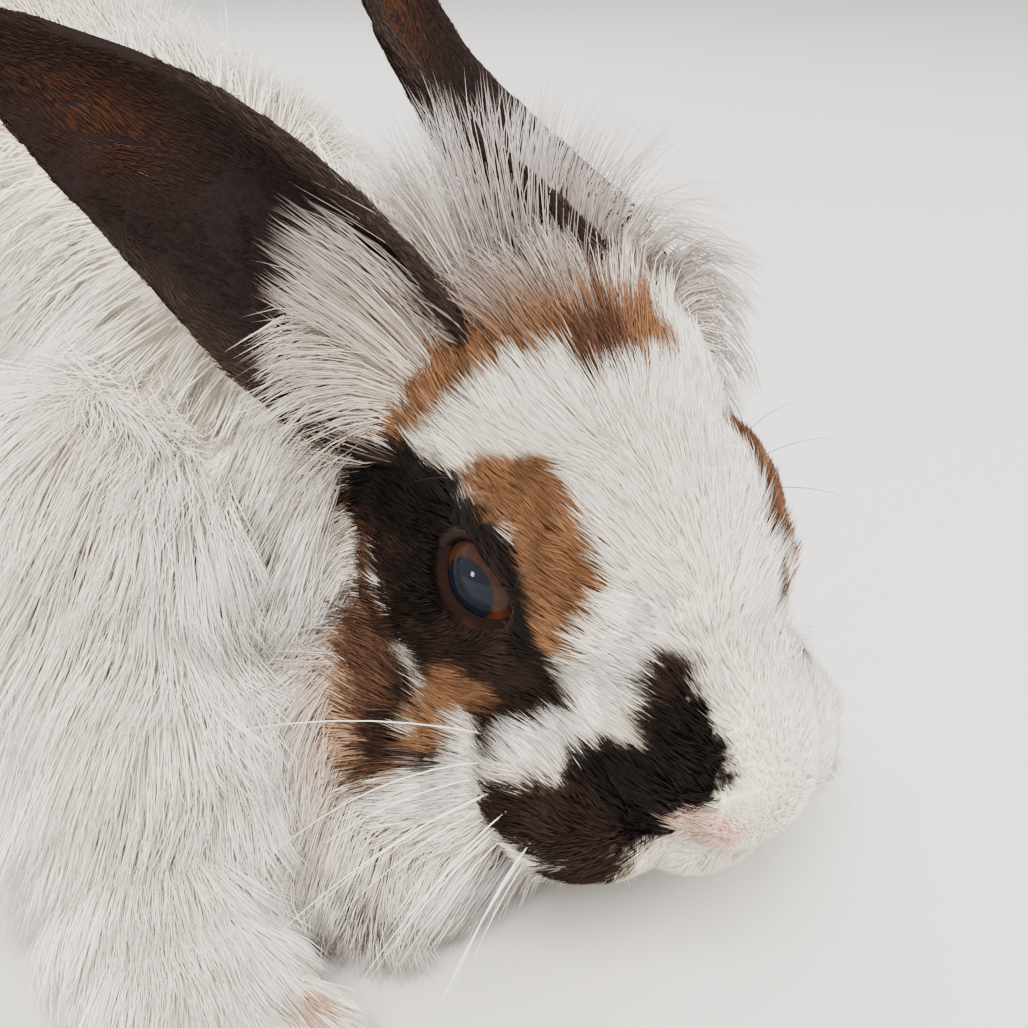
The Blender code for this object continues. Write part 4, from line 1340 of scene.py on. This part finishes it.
def bristle_tree():
    """Turns lines into tapered bristles: round sections that thin out towards the tip."""
    tree = bpy.data.node_groups.new("bristles", "GeometryNodeTree")
    named = (("Geometry", "Geometry"), ("Thickness", "Float"), ("Sides", "Int"), ("Material", "Material"))
    for name, kind in named:
        tree.interface.new_socket(name, in_out="INPUT", socket_type=f"NodeSocket{kind}")
    tree.interface.new_socket("Geometry", in_out="OUTPUT", socket_type="NodeSocketGeometry")
    given = add_node(tree, "NodeGroupInput")
    along = add_node(tree, "GeometryNodeSplineParameter")
    left = add_node(tree, "ShaderNodeMath", {"operation": "SUBTRACT"}, _0=1.0, _1=along.outputs["Factor"])
    taper = add_node(tree, "ShaderNodeMath", {"operation": "POWER"}, _0=left.outputs[0], _1=0.6)
    least = add_node(tree, "ShaderNodeMath", {"operation": "MAXIMUM"}, _0=taper.outputs[0], _1=0.08)
    sizes = {"Curve": given.outputs["Geometry"], "Radius": least.outputs[0]}
    sized = add_node(tree, "GeometryNodeSetCurveRadius", **sizes)
    sizes = {"Resolution": given.outputs["Sides"], "Radius": given.outputs["Thickness"]}
    ring = add_node(tree, "GeometryNodeCurvePrimitiveCircle", **sizes)
    shapes = {"Curve": sized.outputs[0], "Profile_Curve": ring.outputs[0], "Fill_Caps": True}
    rod = add_node(tree, "GeometryNodeCurveToMesh", **shapes)
    if "Scale" in rod.inputs:
        tree.links.new(least.outputs[0], rod.inputs["Scale"])
    real = add_node(tree, "GeometryNodeRealizeInstances", Geometry=rod.outputs[0])
    parts = {"Geometry": real.outputs[0], "Material": given.outputs["Material"]}
    dressed = add_node(tree, "GeometryNodeSetMaterial", **parts)
    result = add_node(tree, "NodeGroupOutput")
    tree.links.new(dressed.outputs[0], result.inputs[0])
    return tree


def bristles(name, lines, thickness, made):
    """Bristles along lines of the head's frame, as one plain mesh."""
    guide = curve_along(name, lines)
    step = guide.modifiers.new("bristles", "NODES")
    step.node_group = bristle_tree()
    given = {"Thickness": thickness * MM / 2, "Sides": 5, "Material": made}
    for item in step.node_group.interface.items_tree:
        if item.item_type == "SOCKET" and item.in_out == "INPUT" and item.name in given:
            step[item.identifier] = given[item.name]
    hairs = solid_from(guide, name, 0.0005)
    hairs.data.shade_smooth()
    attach(hairs, "root")


def drooping(root, heading, length, droop, steps=9):
    """A line that starts along the heading and sinks as it goes, in the head's frame."""
    down = HEAD.to_3x3().inverted() @ Vector((0, 0, -1))
    spot, line = Vector(root), [Vector(root)]
    for k in range(steps):
        ahead = (Vector(heading).normalized() + down * droop * ((k + 0.5) / steps)).normalized()
        spot = spot + ahead * (length / steps)
        floor = (HEAD @ (spot * MM)).z
        if floor < 0.001:
            spot = spot - down * ((0.001 - floor) / MM)
        line.append(spot.copy())
    return line


def make_whiskers(cover):
    """Whiskers in rows on both pads, brow hairs over the eyes, and lashes on the upper lids."""
    chance = np.random.default_rng(SEED + 90)
    whiskers, brows, lashes = [], [], []
    turned, home = HEAD.to_3x3(), HEAD.inverted()
    for side in (-1, 1):
        for row, height in enumerate(WHISKER_ROWS):
            for place in range(5):
                back = -35 + 3.8 * place + chance.uniform(-0.6, 0.6)
                start = HEAD @ (Vector((side * 60, back, height + chance.uniform(-0.5, 0.5))) * MM)
                hit, _, _, _ = cover.ray_cast(start, turned @ Vector((-side, 0, 0)))
                heading = (side * 1.0, -0.6 + 0.3 * place, -0.15 - 0.2 * row + chance.uniform(-0.1, 0.1))
                length = WHISKER_LENGTH * (0.5 + 0.12 * place) * chance.uniform(0.85, 1.15)
                root = home @ hit / MM
                whiskers.append(drooping(root, heading, length, chance.uniform(0.5, 1.1)))
        for place in range(3):
            root = (side * (15.5 + 0.8 * place), -4 + 3.4 * place, 12.5 - 0.3 * place)
            heading = (side * (0.7 + 0.15 * place), -0.3 + 0.45 * place, 0.8)
            brows.append(drooping(root, heading, chance.uniform(13, 19), 0.8))
        turn = HEAD.inverted() @ eye_frame(side)
        for place in range(15):
            angle = math.radians(25 + 130 * place / 14)
            edge = Vector((math.cos(angle) * LID_RING * 1.06, math.sin(angle) * LID_RING * 0.94, 0))
            root = turn @ ((edge + Vector((0, 0, LID_OFFSET + 0.9))) * MM)
            heading = turn.to_3x3() @ (edge.normalized() * 0.5 + Vector((0, 0, 0.9)))
            length = 2.6 * chance.uniform(0.8, 1.3)
            lashes.append(drooping(Vector(root) / MM, heading, length, 0.5, 4))
    # Whiskers and lashes are smooth keratin, so they show bright lines, a little broken up by
    # scales that are too small to be seen one by one.
    pale = finish("whisker_keratin", WHISKER_WHITE, (0.4, 0.02, 0.5), Roughness=0.3)
    dark = finish("lash_keratin", LID_DARK, (0.3, 0.02, 0.5), Roughness=0.4)
    bristles("whiskers", whiskers, WHISKER_THICK, pale)
    bristles("brow_hairs", brows, BROW_THICK, dark)
    bristles("lashes", lashes, BROW_THICK, dark)


def catch_light():
    """Where a small window stands that the right eye mirrors high in its pupil."""
    spot = eye_frame(-1) @ (Vector(CATCH_SPOT) * EYE_RADIUS * MM)
    out = (spot - eye_frame(-1).translation).normalized()
    seen_from = (CAMERA.translation - spot).normalized()
    return spot + (2 * out.dot(seen_from) * out - seen_from) * CATCH_AWAY


def studio():
    """A plain pale floor, and soft lamps above and to both sides."""
    bm = bmesh.new()
    bmesh.ops.create_grid(bm, x_segments=1, y_segments=1, size=6)
    floor = new_object("studio_floor", mesh_from(bm, "studio_floor"))
    # Matt background paper, whose tooth takes every gleam off the floor.
    floor.data.materials.append(finish("studio_paper", PAPER, (0.8, 0.05, 0.5), Roughness=0.9))
    world = bpy.data.worlds.new("studio_light")
    world.use_nodes = True
    background = world.node_tree.nodes["Background"]
    background.inputs["Color"].default_value = AIR_COLOUR
    background.inputs["Strength"].default_value = AIR_LIGHT
    bpy.context.scene.world = world
    window = ("catch_lamp", catch_light(), CATCH_SIZE, CATCH_POWER, (1.0, 1.0, 1.0))
    for name, spot, size, power, colour in (window, *LAMPS):
        data = bpy.data.lights.new(name, "AREA")
        data.size = size
        data.energy = power
        data.color = colour
        lamp = bpy.data.objects.new(name, data)
        lamp.location = spot
        aim = HEAD.translation if name == "catch_lamp" else Vector()
        lamp.rotation_euler = (aim - Vector(spot)).to_track_quat("-Z", "Y").to_euler()
        bpy.context.scene.collection.objects.link(lamp)


def body_skin():
    """The skin of everything but the head and the ears. The paws keep their toes."""
    feet = [name for name in PARTS if name.split("_")[0] in ("forepaw", "hindfoot")]
    masses = [m for name, own in PARTS.items() if name not in (*feet, "head") for m in own]
    body = fused("skin", masses + masses_in(BODY, WOOL), BODY_VOXEL, 5, FILLING)
    paws = [fused(name, PARTS[name], PAW_VOXEL, 3) for name in feet]
    return join_cut(body, paws, "UNION")


def main():
    body = join_cut(body_skin(), [head_skin()], "UNION")
    markings = Markings(body)
    Hairs.lines = Lines(body)
    ears = {word: ear_skin(word) for word in EAR_POSE}
    copies = [new_object("ear_copy", ear.data.copy()) for ear in ears.values()]
    join_cut(body, copies, "UNION")
    body.name = "skin"
    for vert in body.data.vertices:
        vert.co.z = max(vert.co.z, SOLE * MM)
    body.data.shade_smooth()
    paint_skin(body, markings, ears.values())
    _, points, _ = triangles_of(body.data)
    faces = [list(p.vertices) for p in body.data.polygons]
    Hairs.cover = BVHTree.FromPolygons(points.tolist(), faces)
    body.data.materials.clear()
    # Skin under a woolly undercoat: matt, with a fine nap that breaks up what shows between hairs.
    matt = {"Roughness": 0.85, "Specular_IOR_Level": 0.0}
    body.data.materials.append(finish("rabbit_skin_underwool", grain=(0.6, 0.4, 0.8), **matt))
    # Hair is keratin, so fine that the coat as a whole looks soft and shows no gleam.
    hair = finish("rabbit_hair_keratin", Roughness=0.6, Specular_IOR_Level=0.0)
    for piece in clothe(body, ears, markings):
        piece.data.materials.append(hair)
        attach(piece, "root")
    for ear in ears.values():
        bpy.data.objects.remove(ear)
    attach(body, "root")
    flesh = [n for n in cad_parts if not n.startswith("eye")]
    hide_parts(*flesh)
    for word, side in (("right", -1), ("left", 1)):
        make_eye(word, side)
        make_lids(word, side)
    make_whiskers(Hairs.cover)
    studio()


main()
